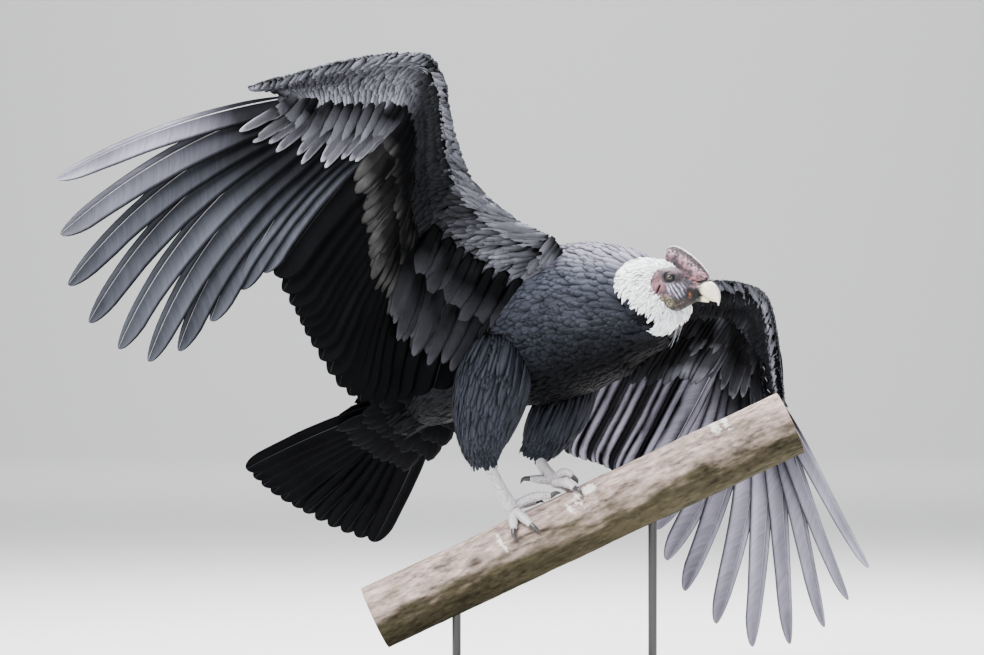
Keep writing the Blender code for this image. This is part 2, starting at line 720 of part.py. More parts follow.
def head_pieces(swell=0.0):
    """The skull with its dewlap, its folds of skin, and the rims of its lids and ears."""
    pieces = [head_loft(SKULL, swell=swell)]
    pieces.append(ball(head_point(*DEWLAP[0]), np.array(DEWLAP[1]) + swell, HEAD_AXES, rings=4, sides=6))
    for side in (1, -1):
        pieces += [fold(line, side, swell) for line in FOLDS]
        eye = side_place(EYE_PLACE, side, LID_SINK)
        gaze = HEAD_LEFT * side + HEAD_FORWARD * LID_TURN
        pieces.append(hoop(eye, gaze, EYE_RADIUS + LID_SINK, LID_RADIUS + swell, LID_STRETCH))
        ear = side_place(EAR_PLACE, side, LID_SINK)
        pieces.append(hoop(ear, HEAD_LEFT * side, EAR_RING[0], EAR_RING[1] + swell, EAR_STRETCH))
    return pieces


def build_head():
    """The bare head with its ear openings, nostrils and mouth, and the eyes, comb and bill it carries."""
    head = node("head", head_pieces(), "skin", "MANIFOLD")
    for side in (1, -1):
        for label, place, size in (("ear", EAR_PLACE, EAR_SIZE), ("nostril", NOSTRIL_PLACE, NOSTRIL_SIZE)):
            hole = ball(side_place(place, side), size, HEAD_AXES, rings=4, sides=6)
            cut(head, mesh_object(label + " hole", hole))
    cut(head, mesh_object("mouth", head_box(MOUTH_CORNER, MOUTH_FRONT, MOUTH_SLIT, 0.05)))
    for name, side in (("eye_left", 1), ("eye_right", -1)):
        centre = side_place(EYE_PLACE, side, EYE_SINK)
        ball_radii = (EYE_RADIUS,) * 3
        eye = node(name, [ball(centre, ball_radii, HEAD_AXES, rings=6, sides=8)], "eye")
        cut(head, grown(eye))
    comb = node("comb", [head_loft(COMB)], "comb")
    upper = node("bill_upper", [head_loft(BILL_UPPER)], "bill")
    lower = node("bill_lower", [head_loft(BILL_LOWER, sides=10)], "bill")
    clear_of(comb, head)
    clear_of(upper, head)
    clear_of(lower, head, upper)


def wing_frame(sections, underside):
    """A function of the feather number and a chord place: 0 at the leading edge, 1 at the root, 2 at the tip.

    It gives the point there, the way towards the wing tip, and the way out of the upper face.
    """
    numbers = [section[0] for section in sections]
    lines = np.array([[section[k] for section in sections] for k in (1, 2, 3)])

    def place(number, chord):
        three = [spline(numbers, line, number)[0] for line in lines]
        part = 0 if chord < 1 else 1
        return three[part] + (three[part + 1] - three[part]) * (chord - part)

    def at(number, chord):
        step = 0.05
        point = place(number, chord)
        outward = unit(place(number - step, chord) - place(number + step, chord))
        back = place(number, min(2.0, chord + step)) - place(number, max(0.0, chord - step))
        up = unit(np.cross(back, outward))
        up = up if up @ np.asarray(underside) < 0 else -up
        return point, outward, up

    return at


def core_ring(lead, root, up, thickness):
    """One chordwise ring of a wing's fleshy core, thick in front and thin where the feathers leave it."""
    chord = root - lead
    stations = ((0.14, 0.85), (0.45, 1.0), (0.85, 0.62), (1.14, 0.2))
    camber = 0.05 * np.linalg.norm(chord)
    upper, lower = [], []
    for share, full in stations:
        middle = lead + chord * share + up * camber * 4 * share * (1 - share)
        upper.append(middle + up * thickness * full)
        lower.append(middle - up * thickness * full)
    return [lead, *upper, *reversed(lower)]


def core_thickness(number):
    """Half the thickness of a wing's core at a feather number, from the wing tip to the shoulder."""
    return float(np.interp(number, (0, 9, 12, 31), (0.006, 0.012, 0.013, 0.022)))


def wing_core(at, numbers, shoulder=None):
    """The fleshy core over a run of feather numbers, carried on into the torso where a shoulder is given."""
    rings = []
    for number in numbers:
        lead, root, up = at(number, 0.0)[0], at(number, 1.0)[0], at(number, 0.6)[2]
        rings.append(core_ring(lead, root, up, core_thickness(number)))
    if shoulder:
        up = at(numbers[-1], 0.6)[2]
        rings.append(core_ring(np.array(shoulder[0]), np.array(shoulder[1]), up, 0.024))
    return skin_rings(rings)


def flight_feather(at, number, widths, shape, bow, slant, sink):
    """One flight feather, rooted in the core and twisted to follow the wing's surface."""
    root = at(number, 1.0)[0]
    _, outward, up = at(number, FAN_START)
    tip, tip_outward, tip_up = at(number, 2.0)
    start = root - unit(tip - root) * sink
    return vane(start, tip, (outward, tip_outward), (up, tip_up), widths, shape, LEAF_THICKNESS, bow, slant)


def covert_row(at, row, arch, draw):
    """A tier of coverts over one face of a wing, which follows the arch of the flight feathers."""
    face, count, first, last, share, length, width, lift = row
    made = []
    for number in np.linspace(first, last, count):
        root, tip = at(number, 1.0)[0], at(number, 2.0)[0]
        start, _, up = at(number, share)
        outward = at(number, FAN_START)[1]
        size = length * draw.uniform(0.94, 1.06)
        reach = (size - np.linalg.norm(root - start)) / np.linalg.norm(tip - root)
        end, end_outward, end_up = at(number, max(FAN_START, 1.0 + reach))
        end = at(number, 1.0 + reach)[0]
        start = start + up * face * core_thickness(number) * COVERT_RISE
        full = np.linalg.norm(tip - root)
        end = end + end_up * (face * lift + 4 * reach * (1 - reach) * arch * full)
        made.append(
            vane(start, end, (outward, end_outward), (up, end_up), (width, width), "covert",
                 COVERT_THICKNESS, (0.01, COVERT_BOW * face), math.radians(COVERT_ROLL))
        )
    return made


def build_wing(side, sections, underside, shoulder, bows):
    """A wing as its hand and its arm, each a fleshy core that carries its flight feathers and coverts."""
    draw = random.Random(SEED + len(side))
    at = wing_frame(sections, underside)
    slant = math.radians(bows["slant"])
    hand = [wing_core(at, HAND_RINGS)]
    for i in range(PRIMARIES):
        widths = (0.010, 0.034) if i == 0 else (0.013, 0.044)
        bow = (float(np.interp(i, (0, 3), bows["primary"])), bows["droop"])
        hand.append(flight_feather(at, i, widths, "primary", bow, slant, 0.02))
    for row in HAND_COVERTS.values():
        hand += covert_row(at, row, bows["droop"], draw)
    for i, number in enumerate(ALULA):
        start, outward, up = at(number, 0.12)
        end = start + outward * (0.11 - 0.02 * i) + up * (0.012 + 0.004 * i)
        forward = start - at(number, 1.0)[0]
        end = end - forward * 0.3
        hand.append(vane(start, end, forward, up, (0.010, 0.014), "covert", COVERT_THICKNESS))
    arm = [wing_core(at, ARM_RINGS, shoulder)]
    count = SECONDARIES + TERTIALS
    for i in range(count):
        number = PRIMARIES + i * (LAST_NUMBER - PRIMARIES) / count
        bow = (bows["secondary"], bows["droop"] / 2)
        arm.append(flight_feather(at, number, (0.017, 0.043), "secondary", bow, slant, 0.03))
    for row in ARM_COVERTS.values():
        arm += covert_row(at, row, bows["droop"] / 2, draw)
    hand = node(f"wing_{side}_hand", hand, "plumage", "MANIFOLD")
    return hand, node(f"wing_{side}_arm", arm, "plumage", "MANIFOLD")


def build_tail():
    """The tail's fan of twelve feathers and the coverts over and under its base."""
    left = across(TAIL_LEFT, TAIL_WAY)
    down = np.cross(left, TAIL_WAY)
    down = down if down[2] < 0 else -down
    block = tube(
        [TAIL_PLACE - TAIL_WAY * 0.05, TAIL_PLACE, TAIL_PLACE + TAIL_WAY * 0.05],
        (0.034, 0.040, 0.046),
        (0.026, 0.022, 0.010),
        left,
        sides=12,
    )
    pieces = [block]
    for i in range(TAIL_FEATHERS):
        share = 2 * i / (TAIL_FEATHERS - 1) - 1
        turn = share * TAIL_SPREAD
        way = math.cos(turn) * TAIL_WAY + math.sin(turn) * left
        start = TAIL_PLACE + left * share * 0.028 + down * (0.006 * abs(share) - 0.003)
        length = TAIL_LENGTH * (1 - 0.02 * share**2)
        outward = left * (1 if share > 0 else -1)
        pieces.append(
            vane(start, start + way * length + down * 0.012 * abs(share), outward, -down, TAIL_WIDTHS,
                 "secondary", LEAF_THICKNESS, (0.02, 0.015), math.radians(7))
        )
    for face, reach, count in ((1, 0.16, 4), (-1, 0.18, 4)):
        for i in range(count):
            share = 2 * i / (count - 1) - 1
            way = math.cos(share * 0.40) * TAIL_WAY + math.sin(share * 0.40) * left
            start = TAIL_PLACE + left * share * 0.030 + down * 0.008 * face
            end = start + way * reach + down * face * 0.014
            pieces.append(
                vane(start, end, left, down, (0.026, 0.026), "covert", COVERT_THICKNESS,
                     (0.0, 0.05 * face), math.radians(8))
            )
    return node("tail", pieces, "plumage", "MANIFOLD")


def build_thigh(name, sections):
    """A thigh with its long shaggy feathers as flat locks that hang down it."""
    draw = random.Random(SEED)
    centres = through([section[0] for section in sections], 8)
    radii = through(np.array([section[1] for section in sections])[:, None], 8)[:, 0]
    core = radii - 0.008
    pieces = [tube(centres, core, core, (0.5, 0.85, 0.0), sides=12)]
    for row, (share, count) in enumerate(THIGH_ROWS):
        centre = through(centres, 101)[round(share * 100)]
        ahead = through(centres, 101)[min(100, round(share * 100) + 2)]
        way = unit(ahead - centre)
        radius = float(np.interp(share, np.linspace(0, 1, 8), core))
        next_radius = float(np.interp(min(1.0, share + 0.25), np.linspace(0, 1, 8), core))
        right = across((0.5, 0.85, 0.0), way)
        front = np.cross(way, right)
        for i in range(count):
            turn = 2 * math.pi * (i + 0.5 * (row % 2) + draw.uniform(-0.1, 0.1)) / count
            out = math.cos(turn) * right + math.sin(turn) * front
            along = math.cos(turn) * front - math.sin(turn) * right
            start = centre + out * (radius - 0.006)
            size = THIGH_LOCK_LENGTH * draw.uniform(0.85, 1.1)
            end = start + way * size + out * (next_radius - radius + 0.018)
            pieces.append(
                vane(start, end, along, out, (0.024, 0.024), "lock", LOCK_THICKNESS,
                     (draw.uniform(-0.04, 0.04), 0.05))
            )
    return node(name, pieces, "plumage", "MANIFOLD")


def branch_axes():
    """The branch's way uphill, its top and its side towards -Y."""
    way = unit(np.array(BRANCH_HIGH) - np.array(BRANCH_LOW))
    side = np.array((0.0, -1.0, 0.0))
    return way, np.cross(side, way) * (1 if np.cross(side, way)[2] > 0 else -1), side


def on_branch(place):
    """A place given as distance uphill, degrees round from the top, and height above the bark."""
    distance, degrees, height = place
    way, top, side = branch_axes()
    turn = math.radians(degrees)
    out = math.cos(turn) * top + math.sin(turn) * side
    return np.array(BRANCH_LOW) + way * distance + out * (BRANCH_RADIUS + height)


def build_foot(name, shank, toes, claws):
    """A shank with its four toes, and a node for each claw."""
    path = through(shank, 4)
    radii = SHANK_RADIUS * np.array((1.05, 0.95, 1.0, 1.25))
    pieces = [tube(path, radii * 0.9, radii, (0.5, 0.85, 0.0), sides=8)]
    pieces.append(ball(path[-1], (0.019, 0.017, 0.013), rings=5, sides=8))
    for toe, places in toes.items():
        line = through([on_branch(place) for place in places], 5)
        size = TOE_RADIUS * (1.0 if toe != "hind" else 0.95)
        radii = size * np.array((1.15, 0.95, 1.08, 0.95, 0.72))
        pieces.append(tube(line, radii, radii * 0.92, (0.0, 1.0, 0.0), sides=6))
    foot = node(name, pieces, "foot")
    made = [foot]
    for toe, places in claws.items():
        line = through([on_branch(place) for place in places], 4)
        radii = CLAW_RADIUS * np.array((1.0, 0.92, 0.60, 0.12))
        horn = tube(line, radii * 0.8, radii, (0.0, 1.0, 0.0), sides=6)
        claw = node(f"{name.replace('foot', 'claw')}_{toe}", [horn], "claw")
        clear_of(claw, foot)
        made.append(claw)
    return made


def build_perch():
    """The cut length of branch, with sawn ends, one knot and an uneven girth."""
    way, top, side = branch_axes()
    length = np.linalg.norm(np.array(BRANCH_HIGH) - np.array(BRANCH_LOW))
    turn = np.linspace(0, 2 * math.pi, 20, endpoint=False)
    rings = []
    for share in np.linspace(0, 1, 7):
        radius = BRANCH_RADIUS * (1 - 0.012 * np.sin(share * 9) ** 2)
        swell = radius * (1 - 0.010 * (1 + np.cos(3 * turn + 5 * share)) / 2)
        centre = np.array(BRANCH_LOW) + way * length * share
        rings.append(centre + np.outer(swell * np.cos(turn), top) + np.outer(swell * np.sin(turn), side))
    knot = on_branch((0.235, 73, -0.004))
    out = unit(knot - np.array(BRANCH_LOW) - way * 0.235)
    knot_axes = np.array((way, np.cross(out, way), out))
    pieces = [skin_rings(rings), ball(knot, (0.025, 0.016, 0.010), knot_axes, 5, 12)]
    return node("perch_branch", pieces, "bark")


def rounded_slab(size, corner, bevel=0.004, steps=4):
    """A flat slab on the floor with round corners and a bevelled upper edge."""
    rings = []
    for inset, height in ((0.0, 0.0), (0.0, size[2] - bevel), (bevel, size[2])):
        ring = []
        for quarter in range(4):
            sx, sy = ((1, 1), (-1, 1), (-1, -1), (1, -1))[quarter]
            for step in range(steps + 1):
                angle = math.pi / 2 * (quarter + step / steps)
                x = sx * (size[0] / 2 - corner) + (corner - inset) * math.cos(angle)
                y = sy * (size[1] / 2 - corner) + (corner - inset) * math.sin(angle)
                ring.append((x, y, height))
        rings.append(ring)
    return skin_rings(rings)


def build_stand(perch):
    """The flat base and the two rods that carry the branch."""
    base = node("stand_base", [rounded_slab(BASE_SIZE, BASE_CORNER)], "stand")
    made = [base]
    way, _, _ = branch_axes()
    for name, x in ROD_PLACES.items():
        top = BRANCH_LOW[2] + (x - BRANCH_LOW[0]) * way[2] / way[0]
        ends = [(x, 0.0, BASE_SIZE[2] + GAP), (x, 0.0, top)]
        rod = node(name, [tube(ends, (ROD_RADIUS,) * 2, (ROD_RADIUS,) * 2, (1, 0, 0), 14)], "stand")
        clear_of(rod, perch)
        made.append(rod)
    return made


def build_condor():
    """The whole model, each piece cut clear of what it grows from."""
    clear_scene()
    perch = build_perch()
    build_stand(perch)
    torso = build_torso()
    build_head()
    neck = build_neck()
    cut(neck, node("head room", head_pieces(HEAD_MARGIN), "skin", "MANIFOLD"))
    clear_of(neck, torso)
    tail = build_tail()
    clear_of(tail, torso)
    thighs = []
    for side, sections, shank, toes, claws in (
        ("right", THIGH_RIGHT, SHANK_RIGHT, TOES_RIGHT, CLAWS_RIGHT),
        ("left", THIGH_LEFT, SHANK_LEFT, TOES_LEFT, CLAWS_LEFT),
    ):
        thigh = build_thigh(f"thigh_{side}", sections)
        foot, *nails = build_foot(f"foot_{side}", shank, toes, claws)
        clear_of(foot, perch)
        clear_of(thigh, torso, tail, foot)
        for nail in nails:
            clear_of(nail, foot, perch)
        thighs.append(thigh)
    for side, sections, underside, shoulder, bows in (
        ("right", WING_RIGHT, UNDERSIDE_RIGHT, SHOULDER_RIGHT, BOWS_RIGHT),
        ("left", WING_LEFT, UNDERSIDE_LEFT, SHOULDER_LEFT, BOWS_LEFT),
    ):
        hand, arm = build_wing(side, sections, underside, shoulder, bows)
        clear_of(arm, hand, margin=FEATHER_MARGIN)
        clear_of(arm, torso, tail, *thighs)
        clear_of(hand, torso)


build_condor()
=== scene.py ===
import math

import bpy
import numpy as np
from bpy.props import FloatProperty, FloatVectorProperty, PointerProperty
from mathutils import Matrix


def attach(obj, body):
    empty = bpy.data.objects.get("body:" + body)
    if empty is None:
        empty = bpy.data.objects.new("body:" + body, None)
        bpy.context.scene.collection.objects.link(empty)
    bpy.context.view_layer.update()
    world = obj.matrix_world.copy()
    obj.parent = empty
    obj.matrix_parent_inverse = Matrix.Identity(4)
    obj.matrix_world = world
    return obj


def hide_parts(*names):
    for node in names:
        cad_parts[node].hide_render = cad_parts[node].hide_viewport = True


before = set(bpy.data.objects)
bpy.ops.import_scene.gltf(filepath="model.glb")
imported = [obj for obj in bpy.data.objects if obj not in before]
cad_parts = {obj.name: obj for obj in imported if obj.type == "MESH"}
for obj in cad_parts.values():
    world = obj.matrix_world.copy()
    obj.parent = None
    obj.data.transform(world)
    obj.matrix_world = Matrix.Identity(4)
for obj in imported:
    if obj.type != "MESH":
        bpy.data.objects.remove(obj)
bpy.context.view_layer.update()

bl_info = {
    "name": "Condor with open wings",
    "version": (1, 0, 0),
    "blender": (4, 5, 0),
    "location": "View3D > Sidebar > Condor",
    "description": "Skin, feathers, head, feet, perch and stand of a life-size Andean condor model",
    "category": "Object",
}

ROOT = "root"


def unit(vectors):
    """Vectors at length one, each divided by its own length."""
    vectors = np.asarray(vectors, float)
    return vectors / np.maximum(np.linalg.norm(vectors, axis=-1, keepdims=True), 1e-12)


# The camera that took the view, for a picture 984 pixels wide
CAMERA_PLACE = (-0.0776, -7.0, 0.75)
FOCAL_PIXELS = 3430.0
PICTURE_WIDTH = 984.0
SENSOR_WIDTH = 36.0

# The body's own sizes, in metres, which the solids follow too: centre, half width, half height
TORSO = (
    ((-0.247, 0.146, 0.575), 0.042, 0.040),
    ((-0.205, 0.128, 0.606), 0.066, 0.066),
    ((-0.140, 0.098, 0.655), 0.094, 0.100),
    ((-0.061, 0.055, 0.704), 0.118, 0.128),
    ((0.020, 0.014, 0.742), 0.132, 0.150),
    ((0.095, -0.024, 0.770), 0.136, 0.153),
    ((0.160, -0.062, 0.782), 0.126, 0.140),
    ((0.222, -0.097, 0.781), 0.102, 0.116),
    ((0.268, -0.120, 0.768), 0.060, 0.070),
    ((0.296, -0.134, 0.762), 0.030, 0.036),
)
BODY_LEFT = np.array((0.5, 0.85, 0.0))
THIGH_RIGHT = (
    ((-0.050, -0.030, 0.700), 0.078),
    ((-0.070, -0.062, 0.650), 0.082),
    ((-0.090, -0.075, 0.583), 0.066),
    ((-0.098, -0.070, 0.520), 0.044),
    ((-0.094, -0.066, 0.480), 0.024),
)
THIGH_LEFT = (
    ((0.070, 0.040, 0.690), 0.072),
    ((0.075, 0.052, 0.640), 0.074),
    ((0.054, 0.052, 0.575), 0.060),
    ((0.024, 0.055, 0.520), 0.040),
    ((0.006, 0.055, 0.492), 0.024),
)
SHANK_RIGHT = ((-0.094, -0.066, 0.490), (-0.064, -0.050, 0.430), (-0.040, -0.035, 0.386))
SHANK_LEFT = ((0.006, 0.055, 0.505), (0.025, 0.036, 0.468), (0.047, 0.020, 0.437))
SHANK_RADIUS = 0.0125

# Each wing as chordwise sections: feather number, leading edge, root of the flight feather, its tip
WING_RIGHT = (
    (0, (-0.533, -0.318, 1.224), (-0.456, -0.304, 1.198), (-0.914, -0.406, 1.037)),
    (2, (-0.453, -0.301, 1.247), (-0.410, -0.295, 1.187), (-0.892, -0.413, 0.832)),
    (5, (-0.356, -0.279, 1.272), (-0.342, -0.282, 1.172), (-0.741, -0.389, 0.685)),
    (9, (-0.211, -0.249, 1.284), (-0.258, -0.265, 1.165), (-0.524, -0.335, 0.858)),
    (12, (-0.178, -0.244, 1.245), (-0.248, -0.258, 1.118), (-0.476, -0.318, 0.803)),
    (17, (-0.164, -0.240, 1.174), (-0.254, -0.245, 1.035), (-0.432, -0.290, 0.720)),
    (22, (-0.148, -0.225, 1.105), (-0.268, -0.220, 0.957), (-0.364, -0.250, 0.620)),
    (25, (-0.125, -0.190, 1.046), (-0.255, -0.170, 0.905), (-0.314, -0.180, 0.596)),
    (28, (-0.058, -0.150, 0.976), (-0.185, -0.110, 0.850), (-0.255, -0.110, 0.610)),
    (31, (0.039, -0.110, 0.925), (-0.075, -0.060, 0.800), (-0.150, -0.040, 0.640)),
)
WING_LEFT = (
    (0, (0.549, 0.360, 0.599), (0.522, 0.375, 0.603), (0.769, 0.700, 0.212)),
    (2, (0.543, 0.365, 0.654), (0.510, 0.380, 0.648), (0.662, 0.620, 0.085)),
    (4, (0.537, 0.370, 0.712), (0.495, 0.385, 0.691), (0.497, 0.550, 0.047)),
    (6, (0.528, 0.370, 0.766), (0.478, 0.385, 0.723), (0.346, 0.520, 0.172)),
    (9, (0.509, 0.370, 0.818), (0.452, 0.380, 0.750), (0.269, 0.515, 0.360)),
    (13, (0.453, 0.340, 0.843), (0.401, 0.360, 0.757), (0.228, 0.500, 0.405)),
    (18, (0.390, 0.290, 0.847), (0.324, 0.330, 0.760), (0.171, 0.475, 0.446)),
    (23, (0.327, 0.230, 0.845), (0.240, 0.285, 0.760), (0.101, 0.445, 0.471)),
    (27, (0.263, 0.170, 0.845), (0.165, 0.225, 0.763), (0.060, 0.400, 0.506)),
    (31, (0.188, 0.100, 0.849), (0.095, 0.150, 0.770), (0.014, 0.330, 0.552)),
)
UNDERSIDE_RIGHT = np.array((0.20, -0.97, 0.05))
UNDERSIDE_LEFT = np.array((0.55, -0.65, -0.45))
SHOULDER_RIGHT = ((0.085, -0.060, 0.860), (-0.010, -0.030, 0.760))
SHOULDER_LEFT = ((0.140, 0.030, 0.835), (0.050, 0.060, 0.745))
FAN_START = 1.3

# The head's own axes: forwards along the bill, the bird's left, and up through the crown
HEAD_PLACE = np.array((0.284, -0.215, 0.834))
HEAD_FORWARD = unit((0.886, -0.413, -0.208))
HEAD_LEFT = unit(np.cross((0.0, 0.0, 1.0), HEAD_FORWARD))
HEAD_UP = np.cross(HEAD_FORWARD, HEAD_LEFT)
HEAD_AXES = np.array((HEAD_FORWARD, HEAD_LEFT, HEAD_UP))

# Sections in the head's axes: foot (x, z), top (x, z) and half width
SKULL = (
    ((-0.062, -0.030), (-0.062, 0.018), 0.020),
    ((-0.055, -0.036), (-0.055, 0.026), 0.026),
    ((-0.044, -0.045), (-0.044, 0.036), 0.035),
    ((-0.028, -0.049), (-0.028, 0.041), 0.0365),
    ((-0.010, -0.051), (-0.010, 0.039), 0.035),
    ((0.008, -0.051), (0.010, 0.031), 0.031),
    ((0.022, -0.046), (0.026, 0.023), 0.026),
    ((0.036, -0.035), (0.040, 0.019), 0.0205),
    ((0.050, -0.024), (0.052, 0.0155), 0.0155),
    ((0.058, -0.020), (0.058, 0.0135), 0.013),
)
COMB = (
    ((-0.030, 0.050), (-0.032, 0.062), 0.0024),
    ((-0.027, 0.040), (-0.028, 0.071), 0.0055),
    ((-0.012, 0.030), (-0.010, 0.076), 0.0078),
    ((0.006, 0.022), (0.013, 0.0695), 0.0082),
    ((0.024, 0.014), (0.034, 0.060), 0.0078),
    ((0.040, 0.012), (0.051, 0.0495), 0.0070),
    ((0.054, 0.017), (0.063, 0.0390), 0.0058),
    ((0.066, 0.024), (0.0695, 0.0300), 0.0022),
)
BILL_UPPER = (
    ((0.046, -0.0040), (0.046, 0.0120), 0.0118),
    ((0.052, -0.0052), (0.052, 0.0135), 0.0132),
    ((0.060, -0.0068), (0.059, 0.0168), 0.0137),
    ((0.067, -0.0090), (0.066, 0.0205), 0.0134),
    ((0.074, -0.0118), (0.075, 0.0218), 0.0122),
    ((0.081, -0.0145), (0.085, 0.0175), 0.0100),
    ((0.088, -0.0150), (0.093, 0.0095), 0.0075),
    ((0.0935, -0.0150), (0.0985, 0.0000), 0.0050),
    ((0.0965, -0.0175), (0.1000, -0.0090), 0.0030),
    ((0.0980, -0.0215), (0.0993, -0.0190), 0.0012),
)
BILL_LOWER = (
    ((0.044, -0.0225), (0.044, -0.0060), 0.0112),
    ((0.052, -0.0218), (0.052, -0.0064), 0.0108),
    ((0.060, -0.0210), (0.060, -0.0072), 0.0096),
    ((0.069, -0.0200), (0.069, -0.0098), 0.0074),
    ((0.077, -0.0190), (0.077, -0.0135), 0.0036),
)
EYE_PLACE = (-0.0035, 0.0145)
EYE_RADIUS = 0.0078
EYE_SINK = 0.0042
LID_HALF_LENGTH = 0.0064
LID_HALF_HEIGHT = 0.0049

# The ruff stands round the neck behind the head: place along its axis and radius
RUFF_PLACE = np.array((0.249, -0.167, 0.821))
RUFF_AXIS = unit((0.60, -0.50, 0.60))
NECK_STATIONS = ((-0.036, 0.054), (-0.020, 0.064), (-0.004, 0.073), (0.012, 0.069), (0.026, 0.050))
NECK_ROOT = ((0.190, -0.090, 0.785), 0.058)
NECK_LEFT = np.array((0.49, 0.87, 0.0))
# The roll of down: place along the axis, radius, and how far it sags
RUFF_STATIONS = (
    (-0.050, 0.056, -0.004),
    (-0.043, 0.070, -0.004),
    (-0.030, 0.080, -0.004),
    (-0.012, 0.084, -0.003),
    (0.006, 0.081, -0.001),
    (0.020, 0.071, 0.0),
    (0.031, 0.058, 0.0),
    (0.039, 0.044, 0.0),
)

# Tail
TAIL_PLACE = np.array((-0.219, 0.135, 0.591))
TAIL_WAY = unit((-0.666, 0.478, -0.573))
TAIL_LEFT = np.array((0.743, 0.480, -0.467))
TAIL_LENGTH = 0.405
TAIL_SPREAD = math.radians(22)

# Branch, base and rods
BRANCH_RADIUS = 0.067
# Rings across each sawn end, as shares of its radius
CUT_RINGS = (0.985, 0.93, 0.75, 0.5, 0.25, 0.06)
BRANCH_LOW = np.array((-0.316, 0.0, 0.158))
BRANCH_HIGH = np.array((0.531, 0.0, 0.556))
KNOT = (0.235, 73.0, -0.004)
BASE_SIZE = (0.62, 0.46, 0.024)
BASE_CORNER = 0.03
ROD_RADIUS = 0.009
ROD_PLACES = {"stand_rod_low": -0.15, "stand_rod_high": 0.25}

# Toes and claws as (distance up the branch, degrees from its top towards -Y, height above its bark)
TOES_RIGHT = {
    "middle": ((0.350, 18, 0.022), (0.382, 15, 0.024), (0.412, 14, 0.018), (0.430, 14, 0.0085)),
    "inner": ((0.352, 12, 0.019), (0.376, -2, 0.014), (0.396, -12, 0.0085)),
    "outer": ((0.352, 26, 0.018), (0.361, 42, 0.012), (0.369, 58, 0.0080)),
    "hind": ((0.350, 26, 0.018), (0.339, 40, 0.012), (0.334, 52, 0.0080)),
}
CLAWS_RIGHT = {
    "middle": ((0.428, 14, 0.0085), (0.442, 14, 0.0095), (0.452, 14, 0.0045)),
    "inner": ((0.394, -11, 0.0085), (0.405, -18, 0.0085), (0.412, -24, 0.0035)),
    "outer": ((0.368, 56, 0.0080), (0.375, 68, 0.0080), (0.379, 78, 0.0035)),
    "hind": ((0.334, 51, 0.0080), (0.329, 62, 0.0080), (0.331, 73, 0.0035)),
}
TOES_LEFT = {
    "middle": ((0.448, -11, 0.030), (0.464, -7, 0.037), (0.479, -3, 0.034), (0.487, 0, 0.021)),
    "inner": ((0.448, -14, 0.028), (0.466, -30, 0.018), (0.484, -44, 0.0085)),
    "outer": ((0.450, -6, 0.026), (0.470, 11, 0.018), (0.481, 26, 0.0085)),
    "hind": ((0.450, -12, 0.030), (0.425, -8, 0.045), (0.405, -5, 0.056)),
}
CLAWS_LEFT = {
    "middle": ((0.4865, 0, 0.023), (0.491, 3, 0.012), (0.490, 5, 0.0045)),
    "inner": ((0.483, -43, 0.0085), (0.494, -50, 0.0085), (0.500, -58, 0.0035)),
    "outer": ((0.480, 25, 0.0085), (0.487, 36, 0.0085), (0.490, 46, 0.0035)),
    "hind": ((0.407, -5, 0.055), (0.394, -3, 0.060), (0.384, -2, 0.054)),
}
TOE_RADIUS = 0.0092
CLAW_RADIUS = 0.0048


# How long a share of a vane its rounded tip is, and the share of its full half width along it, on the leading
# side and, where that isn't the same, on the trailing one
OUTLINES = {
    "primary": (0.11, ((0, 0.25), (0.2, 0.88), (0.5, 1.0), (0.8, 0.92), (1, 0.75)),
                ((0, 0.25), (0.2, 0.92), (0.45, 1.0), (0.62, 0.93), (0.85, 0.76), (1, 0.55))),
    "secondary": (0.12, ((0, 0.25), (0.3, 0.92), (0.7, 1.0), (1, 0.95)),
                  ((0, 0.25), (0.3, 0.95), (0.7, 1.0), (1, 0.95))),
    "contour": (0.38, ((0, 0.45), (0.35, 0.95), (0.7, 1.0), (1, 0.9))),
    "long": (0.3, ((0, 0.35), (0.4, 1.0), (0.75, 0.86), (1, 0.7))),
    "wisp": (0.5, ((0, 0.5), (0.3, 1.0), (0.7, 0.6), (1, 0.3))),
}
# Large odd factors that scramble a lattice cell's whole numbers
HASH = np.array((73856093, 19349663, 83492791))


def dot(first, second):
    """Scalar products along the last axis, which is kept."""
    return (np.asarray(first) * np.asarray(second)).sum(-1, keepdims=True)


def across(vectors, axis):
    """What is left of the vectors once their part along axis is taken off, at length one."""
    return unit(vectors - dot(vectors, axis) * axis)


def ease(values, low=0.0, high=1.0):
    """A smooth step, 3t^2 - 2t^3, where t runs from 0 at low to 1 at high."""
    t = np.clip((np.asarray(values, float) - low) / (high - low), 0, 1)
    return t * t * (3 - 2 * t)


def spline(places, values, wanted):
    """Cubic Hermite curve through the values, with slopes from their neighbours."""
    places = np.asarray(places, float)
    values = np.asarray(values, float)
    wanted = np.atleast_1d(np.asarray(wanted, float))
    slopes = np.gradient(values, places, axis=0)
    part = np.clip(np.searchsorted(places, wanted, side="right") - 1, 0, len(places) - 2)
    shape = (-1,) + (1,) * (values.ndim - 1)
    step = (places[part + 1] - places[part]).reshape(shape)
    t = (wanted - places[part]).reshape(shape) / step
    return (
        (2 * t**3 - 3 * t**2 + 1) * values[part]
        + (t**3 - 2 * t**2 + t) * step * slopes[part]
        + (3 * t**2 - 2 * t**3) * values[part + 1]
        + (t**3 - t**2) * step * slopes[part + 1]
    )


def through(points, count):
    """That many points, evenly by parameter, on a smooth curve through the given ones."""
    points = np.asarray(points, float)
    return spline(np.linspace(0, 1, len(points)), points, np.linspace(0, 1, count))


